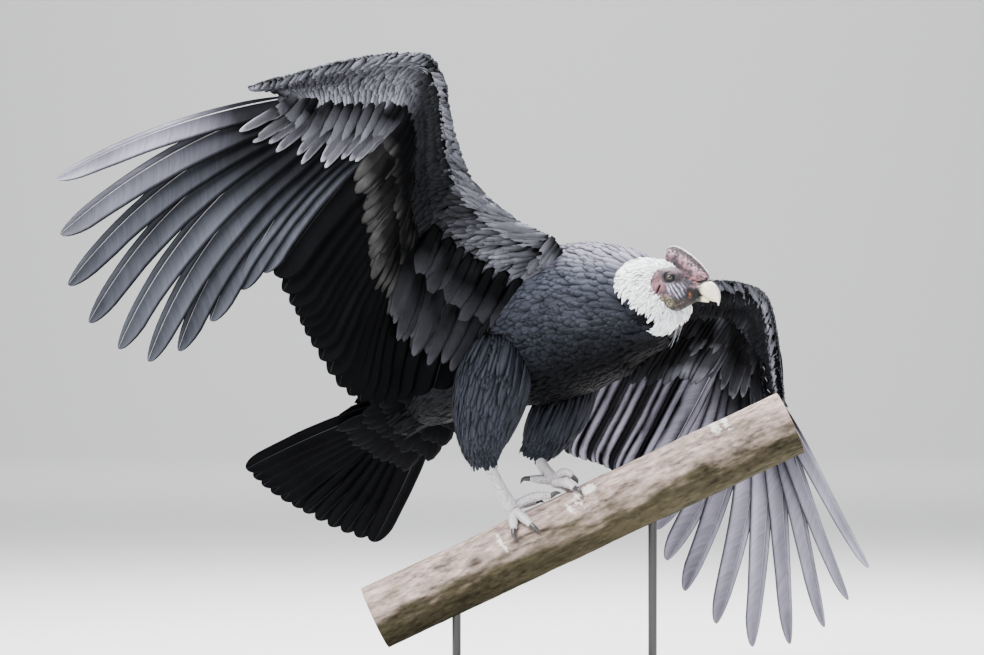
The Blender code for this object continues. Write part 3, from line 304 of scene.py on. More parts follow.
def noise(places, spacing, seed=0):
    """Smooth random values from -1 to 1: the eight corners of a lattice cell, each with a hashed value,
    mixed by eased distance."""
    scaled = np.asarray(places, float) / spacing + 97.3
    cell = np.floor(scaled).astype(np.int64)
    part = scaled - cell
    part = part * part * (3 - 2 * part)
    total = np.zeros(scaled.shape[:-1])
    for corner in np.ndindex(2, 2, 2):
        pick = np.array(corner)
        key = ((cell + pick) * HASH).sum(-1) + seed * 668265263
        key = ((key ^ (key >> 13)) * 1274126177) & 0x7FFFFFFF
        value = ((key ^ (key >> 16)) & 0xFFFF) / 32767.5 - 1
        total += value * np.prod(np.where(pick, part, 1 - part), axis=-1)
    return total


def layered(places, spacing, seed=0, octaves=3):
    """Noise at ever finer spacings, each at half the strength of the one before."""
    total = 0.0
    for k in range(octaves):
        total = total + noise(places, spacing / 2**k, seed + k) / 2**k
    return total


class Wire:
    """A shader socket that takes part in arithmetic: each operator adds one Math node."""

    def __init__(self, tree, socket):
        self.tree = tree
        self.socket = socket

    def math(self, operation, first, second=None):
        made = self.tree.nodes.new("ShaderNodeMath")
        made.operation = operation
        for slot, value in enumerate((first, second)):
            if isinstance(value, Wire):
                self.tree.links.new(value.socket, made.inputs[slot])
            elif value is not None:
                made.inputs[slot].default_value = value
        return Wire(self.tree, made.outputs[0])

    def __add__(self, other):
        return self.math("ADD", self, other)

    def __radd__(self, other):
        return self.math("ADD", other, self)

    def __sub__(self, other):
        return self.math("SUBTRACT", self, other)

    def __rsub__(self, other):
        return self.math("SUBTRACT", other, self)

    def __mul__(self, other):
        return self.math("MULTIPLY", self, other)

    def __rmul__(self, other):
        return self.math("MULTIPLY", other, self)

    def size(self):
        return self.math("ABSOLUTE", self)


class Finish:
    """A material, its Principled shader, and one method that adds any other node."""

    def __init__(self, name, roughness=0.5, **fixed):
        self.material = bpy.data.materials.new(name)
        self.material.use_nodes = True
        self.tree = self.material.node_tree
        self.shader = self.tree.nodes["Principled BSDF"]
        self.shader.inputs["Roughness"].default_value = roughness
        sockets = {socket.name.lower().replace(" ", "_"): socket for socket in self.shader.inputs}
        for label, value in fixed.items():
            sockets[label].default_value = value

    def add(self, kind, settings=None, inputs=None):
        """One node of that kind, with its settings made first and then its sockets filled or linked."""
        made = self.tree.nodes.new("ShaderNode" + kind)
        for label, value in (settings or {}).items():
            if label == "stops":
                self.set_stops(made, value)
            else:
                setattr(made, label, value)
        for label, value in (inputs or {}).items():
            if isinstance(value, Wire):
                self.tree.links.new(value.socket, made.inputs[label])
            else:
                made.inputs[label].default_value = value
        return made

    @staticmethod
    def set_stops(ramp, stops):
        """Give a colour ramp its places and colours."""
        elements = ramp.color_ramp.elements
        while len(elements) > 1:
            elements.remove(elements[-1])
        for k, (place, colour) in enumerate(stops):
            element = elements[0] if k == 0 else elements.new(place)
            element.position = place
            element.color = (*colour, 1.0)

    def wire(self, made, label=0):
        """An output of a node as a wire."""
        return Wire(self.tree, made.outputs[label])

    def feed(self, label, wire):
        """Drive one socket of the Principled shader."""
        self.tree.links.new(wire.socket, self.shader.inputs[label])

    def places(self, scale=(1.0, 1.0, 1.0)):
        """Object coordinates, stretched by scale."""
        source = self.wire(self.add("TexCoord"), "Object")
        return self.wire(self.add("Mapping", None, {"Vector": source, "Scale": scale}))

    def speckle(self, scale, detail=4.0, vector=None, roughness=0.55):
        """Fractal noise over the places, from 0 to 1."""
        inputs = {"Vector": vector or self.places(), "Scale": scale, "Detail": detail, "Roughness": roughness}
        return self.wire(self.add("TexNoise", None, inputs), "Fac")

    def tint(self):
        """The colour that a piece's points carry."""
        return self.wire(self.add("Attribute", {"attribute_name": "tint"}), "Color")

    def vane(self):
        """The three numbers that a piece's points carry, each a wire."""
        source = self.add("Attribute", {"attribute_name": "vane"})
        split = self.add("SeparateXYZ", None, {"Vector": self.wire(source, "Vector")})
        return [self.wire(split, k) for k in range(3)]

    def vector(self, x, y, z=0.0):
        """A vector of three wires or numbers."""
        return self.wire(self.add("CombineXYZ", None, {"X": x, "Y": y, "Z": z}))

    def toned(self, tone):
        """Feed the base colour with the points' own tint times a grey tone."""
        self.feed("Base Color", self.blend(1.0, self.tint(), self.vector(tone, tone, tone), "MULTIPLY"))

    def blend(self, share, first, second, kind="MIX"):
        """Two colours mixed by share."""
        made = self.add("Mix", {"data_type": "RGBA", "blend_type": kind})
        for socket, value in zip((made.inputs[0], made.inputs[6], made.inputs[7]), (share, first, second)):
            if isinstance(value, Wire):
                self.tree.links.new(value.socket, socket)
            elif isinstance(value, (int, float)):
                socket.default_value = value
            else:
                socket.default_value = (*value, 1.0)
        return Wire(self.tree, made.outputs[2])

    def bump(self, height, strength=0.5, distance=0.001):
        """A Bump node fed by height, into the shader's normal."""
        made = self.add("Bump", None, {"Height": height, "Strength": strength, "Distance": distance})
        self.feed("Normal", self.wire(made))


def facing_out(points, quads, tris):
    """Faces turned, if need be, so that the volume they hold, the sum of a . (b x c) / 6, is positive."""
    corners = points[np.concatenate([quads[:, [0, 1, 2]], quads[:, [0, 2, 3]], tris])]
    if (corners[:, 0] * np.cross(corners[:, 1], corners[:, 2])).sum() < 0:
        return quads[:, ::-1], tris[:, ::-1]
    return quads, tris


def grid_quads(index):
    """The quads between neighbouring rows and columns of a grid of point numbers."""
    return np.stack([index[:-1, :-1], index[1:, :-1], index[1:, 1:], index[:-1, 1:]], -1).reshape(-1, 4)


def ring_faces(rows, sides):
    """Quads between neighbouring rings, and triangles that close each end on its pole."""
    index = np.arange(rows * sides).reshape(rows, sides)
    turned = np.roll(index, -1, axis=1)
    quads = np.stack([index[:-1], turned[:-1], turned[1:], index[1:]], axis=-1).reshape(-1, 4)
    first, last = rows * sides, rows * sides + 1
    low = np.stack([np.full(sides, first), turned[0], index[0]], axis=-1)
    high = np.stack([np.full(sides, last), index[-1], turned[-1]], axis=-1)
    return quads, np.concatenate([low, high])


def shell_of(rings):
    """Points and faces of a closed form over rings, with a pole at the middle of each end ring."""
    rows, sides = rings.shape[:2]
    points = np.concatenate([rings.reshape(-1, 3), [rings[0].mean(0)], [rings[-1].mean(0)]])
    quads, tris = ring_faces(rows, sides)
    return points, *facing_out(points, quads, tris)


def joined(shells):
    """Several shells as one set of points and faces."""
    starts = np.cumsum([0] + [len(points) for points, _, _ in shells])
    return (np.concatenate([points for points, _, _ in shells]),
            np.concatenate([quads + start for (_, quads, _), start in zip(shells, starts)]),
            np.concatenate([tris + start for (_, _, tris), start in zip(shells, starts)]))


def mesh_piece(name, shell, finish, tint=None, vane=None, bake=None):
    """A smooth mesh object at the origin, with its points' tint and vane and its map for baking."""
    points, quads, tris = shell
    mesh = bpy.data.meshes.new(name)
    mesh.vertices.add(len(points))
    mesh.vertices.foreach_set("co", np.ascontiguousarray(points, np.float32).ravel())
    corners = np.concatenate([quads.ravel(), tris.ravel()]).astype(np.int32)
    starts = np.concatenate([np.arange(len(quads)) * 4, 4 * len(quads) + np.arange(len(tris)) * 3])
    mesh.loops.add(len(corners))
    mesh.loops.foreach_set("vertex_index", corners)
    mesh.polygons.add(len(starts))
    mesh.polygons.foreach_set("loop_start", starts.astype(np.int32))
    mesh.update(calc_edges=True)
    mesh.validate()
    mesh.shade_smooth()
    if tint is not None:
        colours = np.ones((len(points), 4), np.float32)
        colours[:, :3] = np.clip(tint, 0, 1)
        mesh.attributes.new("tint", "FLOAT_COLOR", "POINT").data.foreach_set("color", colours.ravel())
    if vane is not None:
        spots = np.ascontiguousarray(vane, np.float32)
        mesh.attributes.new("vane", "FLOAT_VECTOR", "POINT").data.foreach_set("vector", spots.ravel())
    if bake is not None:
        layer = mesh.uv_layers.new(name="OFBake")
        layer.data.foreach_set("uv", np.ascontiguousarray(bake, np.float32).ravel())
    mesh.materials.append(finish.material)
    obj = bpy.data.objects.new(name, mesh)
    bpy.context.scene.collection.objects.link(obj)
    return obj


def capped_tint(tint):
    """The colours of a form's rings, with each end's mean for its pole."""
    return np.concatenate([tint.reshape(-1, 3), [tint[0].mean(0)], [tint[-1].mean(0)]])


def place_piece(obj, slot, *nodes):
    """The piece rides on the model and stands for the nodes named; slot is not used."""
    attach(obj, ROOT)
    if nodes:
        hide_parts(*nodes)
    return obj


def outline(t, stops, tip):
    """A vane's share of its full width along its length: a smooth curve through the stops, closed by a
    quarter ellipse over the last tip share."""
    places, shares = np.array(stops, float).T
    wide = np.clip(spline(places, shares, t), 0.02, 1.3)
    return wide * np.sqrt(np.clip(1 - (np.clip(t - (1 - tip), 0, None) / tip) ** 2, 0, 1))


def blades(root, tip, lead, up, wide, shape="contour", rows=6, cols=5, bow=(0.0, 0.0), camber=0.12,
           shaft=0.0, thick=0.0006, roll=0.0, lead_tip=None, ragged=0.0, seed=1):
    """Closed feathers on a grid of t, along each from root to tip, and c, across it from -1 to 1.

    A point is root + way t + arch 4t(1-t) + side c width(t) + up (ridge at the shaft - camber |c|^1.5), and
    the two faces stand off it by half the thickness, which goes to nothing at the rim. Returns the points,
    t, c and face of every point for all feathers, and the faces of one feather with their own side."""
    root, tip = np.atleast_2d(root).astype(float), np.atleast_2d(tip).astype(float)
    count = len(root)
    t = (1 - np.cos(math.pi * np.linspace(0, 1, rows))) / 2
    length = np.linalg.norm(tip - root, axis=1)
    way = unit(tip - root)[:, None]
    leads = np.broadcast_to(np.asarray(lead, float), (count, 3))[:, None]
    ups = np.broadcast_to(np.asarray(up, float), (count, 3))[:, None]
    lead_end = leads if lead_tip is None else np.broadcast_to(lead_tip, (count, 3))[:, None]
    grow = t[None, :, None]
    side = across((1 - grow) * unit(leads) + grow * unit(lead_end), way)
    top = np.cross(way, side)
    hand = np.where(dot(top[:, :1], ups) >= 0, 1.0, -1.0)
    top = top * hand
    turn = np.broadcast_to(np.asarray(roll, float), (count,))[:, None, None]
    flat = np.cos(turn) * side + np.sin(turn) * top
    rise = np.cos(turn) * top - np.sin(turn) * side
    bows = [np.broadcast_to(np.asarray(b, float), (count,))[:, None, None] for b in bow]
    arch = (4 * t * (1 - t))[None, :, None] * length[:, None, None]
    middle = root[:, None] + way * length[:, None, None] * grow + arch * (bows[0] * side + bows[1] * top)
    wide = np.broadcast_to(np.asarray(wide, float), (count, 2))
    number = np.arange(count)[:, None] + 0 * t
    where = np.stack([number * 7.7, 0 * number + t * 9, 0 * number], -1)
    tip_share, *stops = OUTLINES[shape]
    shares = [outline(t, along, tip_share) * (1 + ragged * noise(where, spacing, seed + own))
              for along, spacing, own in ((stops[0], 1.0, 0), (stops[-1], 0.7, 5))]
    c = np.linspace(-1, 1, cols)[None, None, :] * hand
    reach = np.where(c > 0, *(wide[:, k, None, None] * shares[k][..., None] for k in (0, 1)))
    out = c * reach
    quill = shaft * (1 - 0.8 * t)[None, :, None]
    if shaft:
        near = np.abs(c) < 3 / (cols - 1)
        out = np.where(near & (c != 0), np.sign(c) * np.minimum(quill, 0.4 * reach), out)
    lift = -camber * np.abs(c) ** 1.5 * reach
    ridge = quill * np.where(c == 0, 1.0, 0.0)
    thin = np.sqrt(np.clip(1 - np.abs(c), 0, 1)) * np.sin(math.pi * t)[None, :, None].clip(0) ** 0.3
    half = thick / 2 * thin
    base = middle[:, :, None] + flat[:, :, None] * out[..., None]

    def both(upper, lower):
        """Values on the whole grid of the upper face, then on the lower face inside the rim that they share."""
        shape = (count, -1) + upper.shape[3:]
        return np.concatenate([upper.reshape(shape), lower[:, 1:-1, 1:-1].reshape(shape)], axis=1)

    points = both(base + rise[:, :, None] * (lift + half + 0.5 * ridge)[..., None],
                  base + rise[:, :, None] * (lift - half - ridge)[..., None])
    index = np.arange(rows * cols).reshape(rows, cols)
    under = index.copy()
    under[1:-1, 1:-1] = rows * cols + np.arange((rows - 2) * (cols - 2)).reshape(rows - 2, cols - 2)
    quads = [grid_quads(grid) for grid in (index, under)]
    t, c = (np.broadcast_to(grid, (count, rows, cols)) for grid in (t[None, :, None], c))
    return {"points": points, "t": both(t, t), "c": both(c, c), "length": length[:, None],
            "wide": wide.mean(1)[:, None], "face": np.where(np.arange(points.shape[1]) < rows * cols, 1.0, -1.0),
            "faces": np.concatenate([quads[0], quads[1][:, ::-1]]), "sides": np.repeat((0, 1), len(quads[0]))}


class Coat:
    """Feathers gathered into one mesh, each batch with its colours and its patches for baking."""

    def __init__(self, seed):
        self.batches = []
        self.draw = np.random.default_rng(seed)

    def add(self, feathers, tint, origin, cell=(0.003, 0.003)):
        """tint is a colour for each point, and origin each feather's own corner of the map, which its upper
        and lower face share side by side in a cell of that size."""
        count, each = feathers["points"].shape[:2]
        faces, sides = feathers["faces"], feathers["sides"]
        t, c = feathers["t"][:, faces], feathers["c"][:, faces]
        u = origin[:, 0, None, None] + cell[0] * ((c + 1) / 4 + 0.5 * sides[None, :, None])
        v = origin[:, 1, None, None] + cell[1] * t
        shade = np.broadcast_to(self.draw.uniform(0, 1, count)[:, None], (count, each))
        self.batches.append({
            "points": feathers["points"].reshape(-1, 3),
            "faces": (faces[None] + (np.arange(count) * each)[:, None, None]).reshape(-1, 4),
            "tint": np.broadcast_to(tint, (count, each, 3)).reshape(-1, 3),
            "vane": np.stack([feathers["t"] * feathers["length"], feathers["c"] * feathers["wide"], shade],
                             -1).reshape(-1, 3),
            "bake": np.stack([u, v], -1).reshape(-1, 2),
        })

    def build(self, name, finish):
        """The mesh object that holds every batch."""
        start, faces = 0, []
        for batch in self.batches:
            faces.append(batch["faces"] + start)
            start += len(batch["points"])
        whole = {key: np.concatenate([batch[key] for batch in self.batches])
                 for key in ("points", "tint", "vane", "bake")}
        shell = (whole["points"], np.concatenate(faces), np.zeros((0, 3), int))
        return mesh_piece(name, shell, finish, whole["tint"], whole["vane"], whole["bake"])


def fullness(chord, front=0.1):
    """A wing's flesh over its chord, as a share of its greatest thickness, which the very front may change."""
    return np.interp(chord, (0, 0.14, 0.45, 0.85, 1.14), (front, 0.85, 1.0, 0.62, 0.2))


class Sheet:
    """A wing's surface over the feather number, from the wing's tip at 0 to the shoulder at 31, and the chord
    place: 0 at the leading edge, 1 at the roots of the flight feathers and 2 at their tips. Between the three
    lines it is ruled, and along them a cubic curve."""

    def __init__(self, sections, underside):
        self.numbers = [section[0] for section in sections]
        self.lines = np.array([[section[k] for section in sections] for k in (1, 2, 3)])
        self.underside = underside

    def place(self, number, chord):
        """The points there."""
        three = np.stack([spline(self.numbers, line, number) for line in self.lines])
        part = np.where(chord < 1, 0, 1)
        index = np.arange(len(three[0]))
        start, end = three[part, index], three[part + 1, index]
        return start + (end - start) * (chord - part)[:, None]

    def at(self, number, chord):
        """The points there, the ways towards the wing's tip, and the ways out of its upper face."""
        number = np.atleast_1d(np.asarray(number, float))
        chord = np.broadcast_to(np.asarray(chord, float), number.shape)
        step = 0.05
        outward = unit(self.place(number - step, chord) - self.place(number + step, chord))
        ahead, behind = np.maximum(0.0, chord - step), np.minimum(2.0, chord + step)
        up = unit(np.cross(self.place(number, behind) - self.place(number, ahead), outward))
        return self.place(number, chord), outward, up * np.where(dot(up, self.underside) < 0, 1.0, -1.0)

    def walk(self, number, chord, distance):
        """The chord place that lies that far behind another."""
        three = [spline(self.numbers, line, number) for line in self.lines]
        front = np.linalg.norm(three[1] - three[0], axis=1)
        rear = np.linalg.norm(three[2] - three[1], axis=1)
        gone = np.where(chord < 1, chord * front, front + (chord - 1) * rear) + distance
        return np.clip(np.where(gone < front, gone / front, 1 + (gone - front) / rear), 0, 2)

    def rise(self, number, chord, face):
        """How far the flesh stands off the ruled surface towards the upper face: its camber, and the half
        thickness that thins towards both edges."""
        three = [spline(self.numbers, line, number) for line in self.lines[:2]]
        share = np.clip(chord, 0, 1)
        camber = 0.05 * np.linalg.norm(three[1] - three[0], axis=1) * 4 * share * (1 - share)
        full = np.interp(number, (0, 9, 12, 31), (0.006, 0.012, 0.013, 0.022))
        return camber + face * full * fullness(chord)

    def skin(self, number, chord, face, lift=0.0):
        """Points on one face of the flesh, lifted off it."""
        point, outward, up = self.at(number, chord)
        lifted = self.rise(number, chord, face) + face * lift
        return point + up * lifted[:, None], outward, up


WINGS = {"right": Sheet(WING_RIGHT, UNDERSIDE_RIGHT), "left": Sheet(WING_LEFT, UNDERSIDE_LEFT)}
# How the flight feathers arch, as shares of their length: the outermost and inner primaries, the others, and
# all of them downwards
ARCHES = {"right": (0.05, 0.09, 0.03, 0.02), "left": (0.06, 0.06, 0.03, 0.09)}
ROLLS = {"right": math.radians(13), "left": math.radians(17)}
# Where on the baking map the rows of long feathers start
FLIGHT_ROWS = {"right": 0.02, "left": 0.10, "tail": 0.18}


def numbers_of(primary):
    """The feather numbers of the primaries, or of the secondaries and tertials."""
    if primary:
        return np.arange(10.0)
    return 10 + np.arange(17) * (31 - 10) / 17


def flight_feathers(side, primary):
    """The flight feathers of the hand or the arm: each runs from its root in the flesh to its tip on the
    wing's sheet, arches, and rolls so that its leading vane lies over its neighbour's trailing one."""
    sheet = WINGS[side]
    numbers = numbers_of(primary)
    count = len(numbers)
    root = sheet.at(numbers, np.full(count, 1.0))[0]
    _, outward, up = sheet.at(numbers, np.full(count, FAN_START))
    tip, tip_outward, _ = sheet.at(numbers, np.full(count, 2.0))
    outer, inner, arm, droop = ARCHES[side]
    if primary:
        wide = np.tile((0.0135, 0.0445), (count, 1))
        wide[0] = (0.010, 0.036)
        bow = (np.interp(numbers, (0, 3), (outer, inner)), droop)
    else:
        wide = np.tile((0.0175, 0.0435), (count, 1))
        bow = (arm, droop / 2)
    start = root - unit(tip - root) * (0.02 if primary else 0.03)
    return blades(start, tip, outward, up, wide, "primary" if primary else "secondary", rows=26, cols=11,
                  bow=bow, camber=0.05, shaft=0.0016, thick=0.0007, roll=ROLLS[side], lead_tip=tip_outward,
                  ragged=0.045, seed=3 + primary)


def mix(share, first, second):
    """Colours mixed by share, which gains an axis for them."""
    share = np.clip(np.asarray(share, float), 0, 1)[..., None]
    return (1 - share) * np.asarray(first) + share * np.asarray(second)


def flight_tint(side, primary, feathers, inks):
    """Underneath, the primaries are silvery, darker at the base and along the shaft's front, with a pale
    shaft and pale rim. The near wing's undersides are painted in shade, with dark silver primaries that carry a
    painted lilac highlight on the outermost ones and black secondaries, and the far wing's are painted lit, with
    lilac primaries and secondaries striped lilac grey. On top all are black but for the broad white outer webs of
    the secondaries."""
    t, c = feathers["t"], feathers["c"]
    on_top = feathers["face"][None, :] > 0
    numbers = numbers_of(primary)[:, None]
    cloud = layered(np.stack([t * 7 + numbers, c * 1.2 + numbers * 3, 0 * t], -1), 1.0, 11)
    near = side == "right"
    if primary:
        # The far wing's primaries take the painted-light lilac; the near wing's take the painted-shade silver,
        # with a painted lilac highlight on the outermost ones
        silver_with_painted_light = inks.painted_lit_lilac
        if near:
            silver_with_painted_light = mix(0.55 * (1 - ease(numbers, -0.4, 1.8)) + 0.02, inks.silver_with_painted_light, inks.painted_lit_lilac)
        under = mix(ease(t, 0.25, 0.62) * (0.75 + 0.25 * cloud), inks.dusk, silver_with_painted_light)
        front = np.exp(-(((c - 0.20) / 0.17) ** 2)) * (0.85 if near else 0.55)
        under = mix(front * (0.60 + 0.40 * ease(t, 0.2, 0.6)), under, inks.dusk)
        under = mix(np.exp(-(((c + 0.25) / 0.20) ** 2)) * 0.35, under, inks.dusk)
        rim = ease(np.abs(c), 0.78, 0.96) * ease(t, 0.3, 0.6)
        under = mix(rim * (0.45 if near else 0.3), under, inks.pale)
    # The near wing's secondaries are painted in shade, nearly black; the far wing's are lit, with painted-light
    # lilac stripes
    elif near:
        under = mix(0.25 + 0.2 * cloud, inks.black, inks.dusk)
    else:
        bands = ease(np.sin(c * 5.5 + numbers * 1.7 + cloud * 0.8), -0.5, 0.5)
        bands = bands * ease(t, 0.12, 0.40) * (0.35 + 0.45 * ease(t, 0.5, 0.9))
        under = mix(bands, inks.dusk, inks.painted_lit_lilac)
    white = ease(c, -0.35, 0.0) * (1 - ease(np.abs(c), 0.80, 0.95)) * (1 - ease(t, 0.70, 0.84))
    white = 0 if primary else white * ease(numbers, 9.5, 11) * (1 - ease(numbers, 25, 28))
    tint = np.where(on_top[..., None], mix(white, inks.black, inks.white), under)
    shaft = np.exp(-((c / 0.07) ** 2))
    # The near wing's secondaries, painted in shade, show almost no pale shaft
    return mix(shaft * np.where(on_top, 0.25, 0.75 if primary or not near else 0.08), tint, inks.shaft)


def spot(x, z, at, reach, power=1.0):
    """A soft patch round a place, one there and nearly nothing past its reach: exp(-(gap^2)^power)."""
    return np.exp(-((((x - at[0]) / reach[0]) ** 2 + ((z - at[1]) / reach[1]) ** 2) ** power))


def grey_share(side, face, number, chord):
    """How grey a covert's tip is by its place. Under the near wing the hand's middle rows, the wrist and the
    rows nearest the body are grey and the arm's leading half is black; elsewhere all is nearly black."""
    if face > 0:
        return 0.30 + 0.25 * ease(number, 24, 31) + 0.6 * ease(chord, 0.10, -0.01)
    if side == "left":
        hand = 1 - ease(number, 12, 17)
        share = 0.05 + 0.95 * ease(number, 4.0, 6.5) * hand * ease(chord, 0.62, 0.80)
        return share + 0.85 * ease(chord, 0.13, -0.01) + 0.3 * hand * ease(chord, 0.45, 0.6)
    share = 0.05 + 0.40 * ease(chord, 0.15, 0.0)
    for strength, at, reach in ((0.85, (3.0, 0.50), (2.4, 0.24)), (1.0, (7.4, 0.50), (2.2, 0.34)),
                                (0.75, (29.8, 0.35), (2.4, 0.50))):
        share = share + strength * spot(number, chord, at, reach)
    return np.clip(share, 0, 1)


def patches(around, along, corner, size):
    """Each root's own place in a tile of the baking map, from its shares round and along the form."""
    shares = np.stack([np.mod(around, 1.0), np.clip(along, 0, 1)], -1)
    return np.array(corner) + np.array(size) * shares


def tier(side, face, ends, count, chord, size, lifts, draw, roll=8.0, wander=0.3, skew=0.0, **more):
    """One row of coverts: they start at a chord place on a face of the flesh and lie back along the sheet
    for their length, each a little off its neighbours' place, length, width and roll. Returns the feathers,
    their numbers and their chord places."""
    sheet = WINGS[side]
    moved = draw.uniform(-wander, wander, count) * abs(ends[1] - ends[0]) / count
    numbers = np.clip(np.linspace(*ends, count) + moved, -0.6, 31)
    chords = chord + draw.uniform(-0.02, 0.02, count)
    length = size[0] * draw.uniform(0.9, 1.1, count)
    start, outward, up = sheet.skin(numbers, chords, face, lifts[0])
    end_chord = sheet.walk(numbers, chords, length)
    moved = np.clip(numbers + skew * draw.uniform(0.6, 1.4, count), -0.8, 31.5)
    end, end_outward, end_up = sheet.skin(moved, end_chord, face, lifts[1])
    reach = np.clip(end_chord - 1, 0, 1)
    droop = ARCHES[side][3] * (0.5 + 0.5 * ease(numbers, 11, 9))
    flight = np.linalg.norm(sheet.at(numbers, 2.0)[0] - sheet.at(numbers, 1.0)[0], axis=1)
    end = end + end_up * (4 * reach * (1 - reach) * droop * flight)[:, None]
    widths = np.repeat((size[1] * draw.uniform(0.88, 1.12, count))[:, None], 2, axis=1)
    turn = np.radians(roll) * draw.uniform(0.5, 1.5, count)
    feathers = blades(start, end, outward, up * face, widths, bow=(0.0, 0.04), camber=0.16, roll=turn * face,
                      lead_tip=end_outward, ragged=0.06, seed=int(draw.integers(1, 999)), **more)
    return feathers, numbers, chords


def frame_along(centres, side):
    """Ways, right-hand sides and ups of the rings along a line of centres."""
    way = unit(np.gradient(np.asarray(centres, float), axis=0))
    right = across(np.broadcast_to(side, way.shape), way)
    return way, right, np.cross(right, way)


class Loft:
    """A fleshy form: ellipses square to a smooth line. A point is centre + right cos a (width + swell) +
    up sin a (height + swell), at a share along the line and a turn a round it."""

    def __init__(self, centres, widths, heights, side, count=81):
        self.centres = through(centres, count)
        self.widths = through(np.array(widths)[:, None], count)[:, 0]
        self.heights = through(np.array(heights)[:, None], count)[:, 0]
        self.way, self.right, self.up = frame_along(self.centres, side)
        self.shares = np.linspace(0, 1, count)
        self.length = np.linalg.norm(np.diff(self.centres, axis=0), axis=1).sum()

    def read(self, share, table):
        """A table's values at shares along the line."""
        share = np.clip(share, 0, 1)
        if table.ndim == 1:
            return np.interp(share, self.shares, table)
        return np.stack([np.interp(share, self.shares, table[:, k]) for k in range(3)], -1)

    def place(self, share, turn, swell=0.0):
        """Points on the form, and the ways out of it; a share past an end goes straight on."""
        beyond = (share - np.clip(share, 0, 1)) * self.length
        centre = self.read(share, self.centres) + self.read(share, self.way) * beyond[..., None]
        right, up = self.read(share, self.right), self.read(share, self.up)
        wide, high = self.read(share, self.widths) + swell, self.read(share, self.heights) + swell
        cos, sin = np.cos(turn), np.sin(turn)
        point = centre + right * (cos * wide)[..., None] + up * (sin * high)[..., None]
        out = unit(right * (cos * high)[..., None] + up * (sin * wide)[..., None])
        return point, out

    def holds(self, points, margin=0.0):
        """Which points lie inside the form, by the ellipse of the ring whose plane they are nearest to."""
        gap = points[:, None] - self.centres[None]
        along = np.abs((gap * self.way[None]).sum(-1)) + 0.02 * np.linalg.norm(gap, axis=-1)
        near = along.argmin(1)
        index = np.arange(len(points))
        away = gap[index, near]
        x = (away * self.right[near]).sum(-1) / (self.widths[near] - margin)
        z = (away * self.up[near]).sum(-1) / (self.heights[near] - margin)
        past = np.abs((away * self.way[near]).sum(-1)) > 0.01
        return (x * x + z * z < 1) & ~past

    def shell(self, swell=0.0, sides=64, count=40):
        """The closed surface of the form."""
        share = np.repeat(np.linspace(0, 1, count)[:, None], sides, 1)
        turn = np.broadcast_to(np.linspace(0, 2 * math.pi, sides, endpoint=False), share.shape)
        return shell_of(self.place(share, turn, swell)[0])


def round_loft(sections, side=BODY_LEFT):
    """A form whose rings are circles."""
    centres, radii = zip(*sections)
    return Loft(centres, radii, radii, side)


def on_neck(place, low=0.0):
    """A place along the neck's axis from the ruff's middle, moved up by low."""
    return RUFF_PLACE + RUFF_AXIS * place + np.array((0, 0, low))


LOFTS = {
    "torso": Loft(*zip(*TORSO), BODY_LEFT),
    "thigh_right": round_loft(THIGH_RIGHT),
    "thigh_left": round_loft(THIGH_LEFT),
    "neck": round_loft([NECK_ROOT] + [(on_neck(place), radius) for place, radius in NECK_STATIONS], NECK_LEFT),
    "ruff": round_loft([(on_neck(place, low), radius) for place, radius, low in RUFF_STATIONS], NECK_LEFT),
}


def fields(loft, spacing, low, high, draw, wander=0.25):
    """Shares and turns of feather roots over a form, in staggered rows a spacing apart."""
    rows = np.arange(low, high, spacing[0] / loft.length)
    shares, turns = [], []
    for k, share in enumerate(rows):
        girth = math.pi * (loft.read(share, loft.widths) + loft.read(share, loft.heights))
        count = max(6, round(float(girth) / spacing[1]))
        turn = (np.arange(count) + 0.5 * (k % 2) + draw.uniform(-wander, wander, count)) / count * 2 * math.pi
        turns.append(turn)
        shares.append(np.full(count, share) + draw.uniform(-wander, wander, count) * spacing[0] / loft.length)
    return np.concatenate(shares), np.concatenate(turns)


def contour(loft, share, turn, length, wide, depth, lift, draw, flow=-1, shape="contour", rows=6, camber=0.2,
            drop=0.0, ragged=0.1, bow=0.05, thick=0.0006, roll=6.0, swing=0.06, cols=5):
    """Feathers over a form: each starts at its root, depth under the form's surface, and lies along it for
    its length, against the line's way where flow is -1, drawn down by drop, its tip lifted off the surface."""
    count = len(share)
    size = length * draw.uniform(0.85, 1.15, count)
    start, out = loft.place(share, turn, -depth)
    ahead = share + flow * size / loft.length
    swerve = draw.uniform(-swing, swing, count)
    end = loft.place(ahead, turn + swerve, lift * draw.uniform(0.3, 1.2, count))[0]
    end = end + np.array((0, 0, -1.0)) * drop * size[:, None]
    way = end - start
    end = start + unit(way) * np.minimum(np.linalg.norm(way, axis=1), 1.6 * size)[:, None]
    side = np.cross(unit(way), out)
    widths = np.repeat((wide * draw.uniform(0.85, 1.15, count))[:, None], 2, 1)
    rolls = np.radians(roll) * draw.uniform(-1.5, 1.5, count)
    bows = (draw.uniform(-0.03, 0.03, count), bow)
    return blades(start, end, side, out, widths, shape, rows=rows, cols=cols, bow=bows, camber=camber,
                  roll=rolls, ragged=ragged, thick=thick, seed=int(draw.integers(1, 999)))


def covered(points, names, margin):
    """Which points lie inside any of the named forms."""
    found = np.zeros(len(points), bool)
    for name in names:
        found |= LOFTS[name].holds(points, margin)
    return found


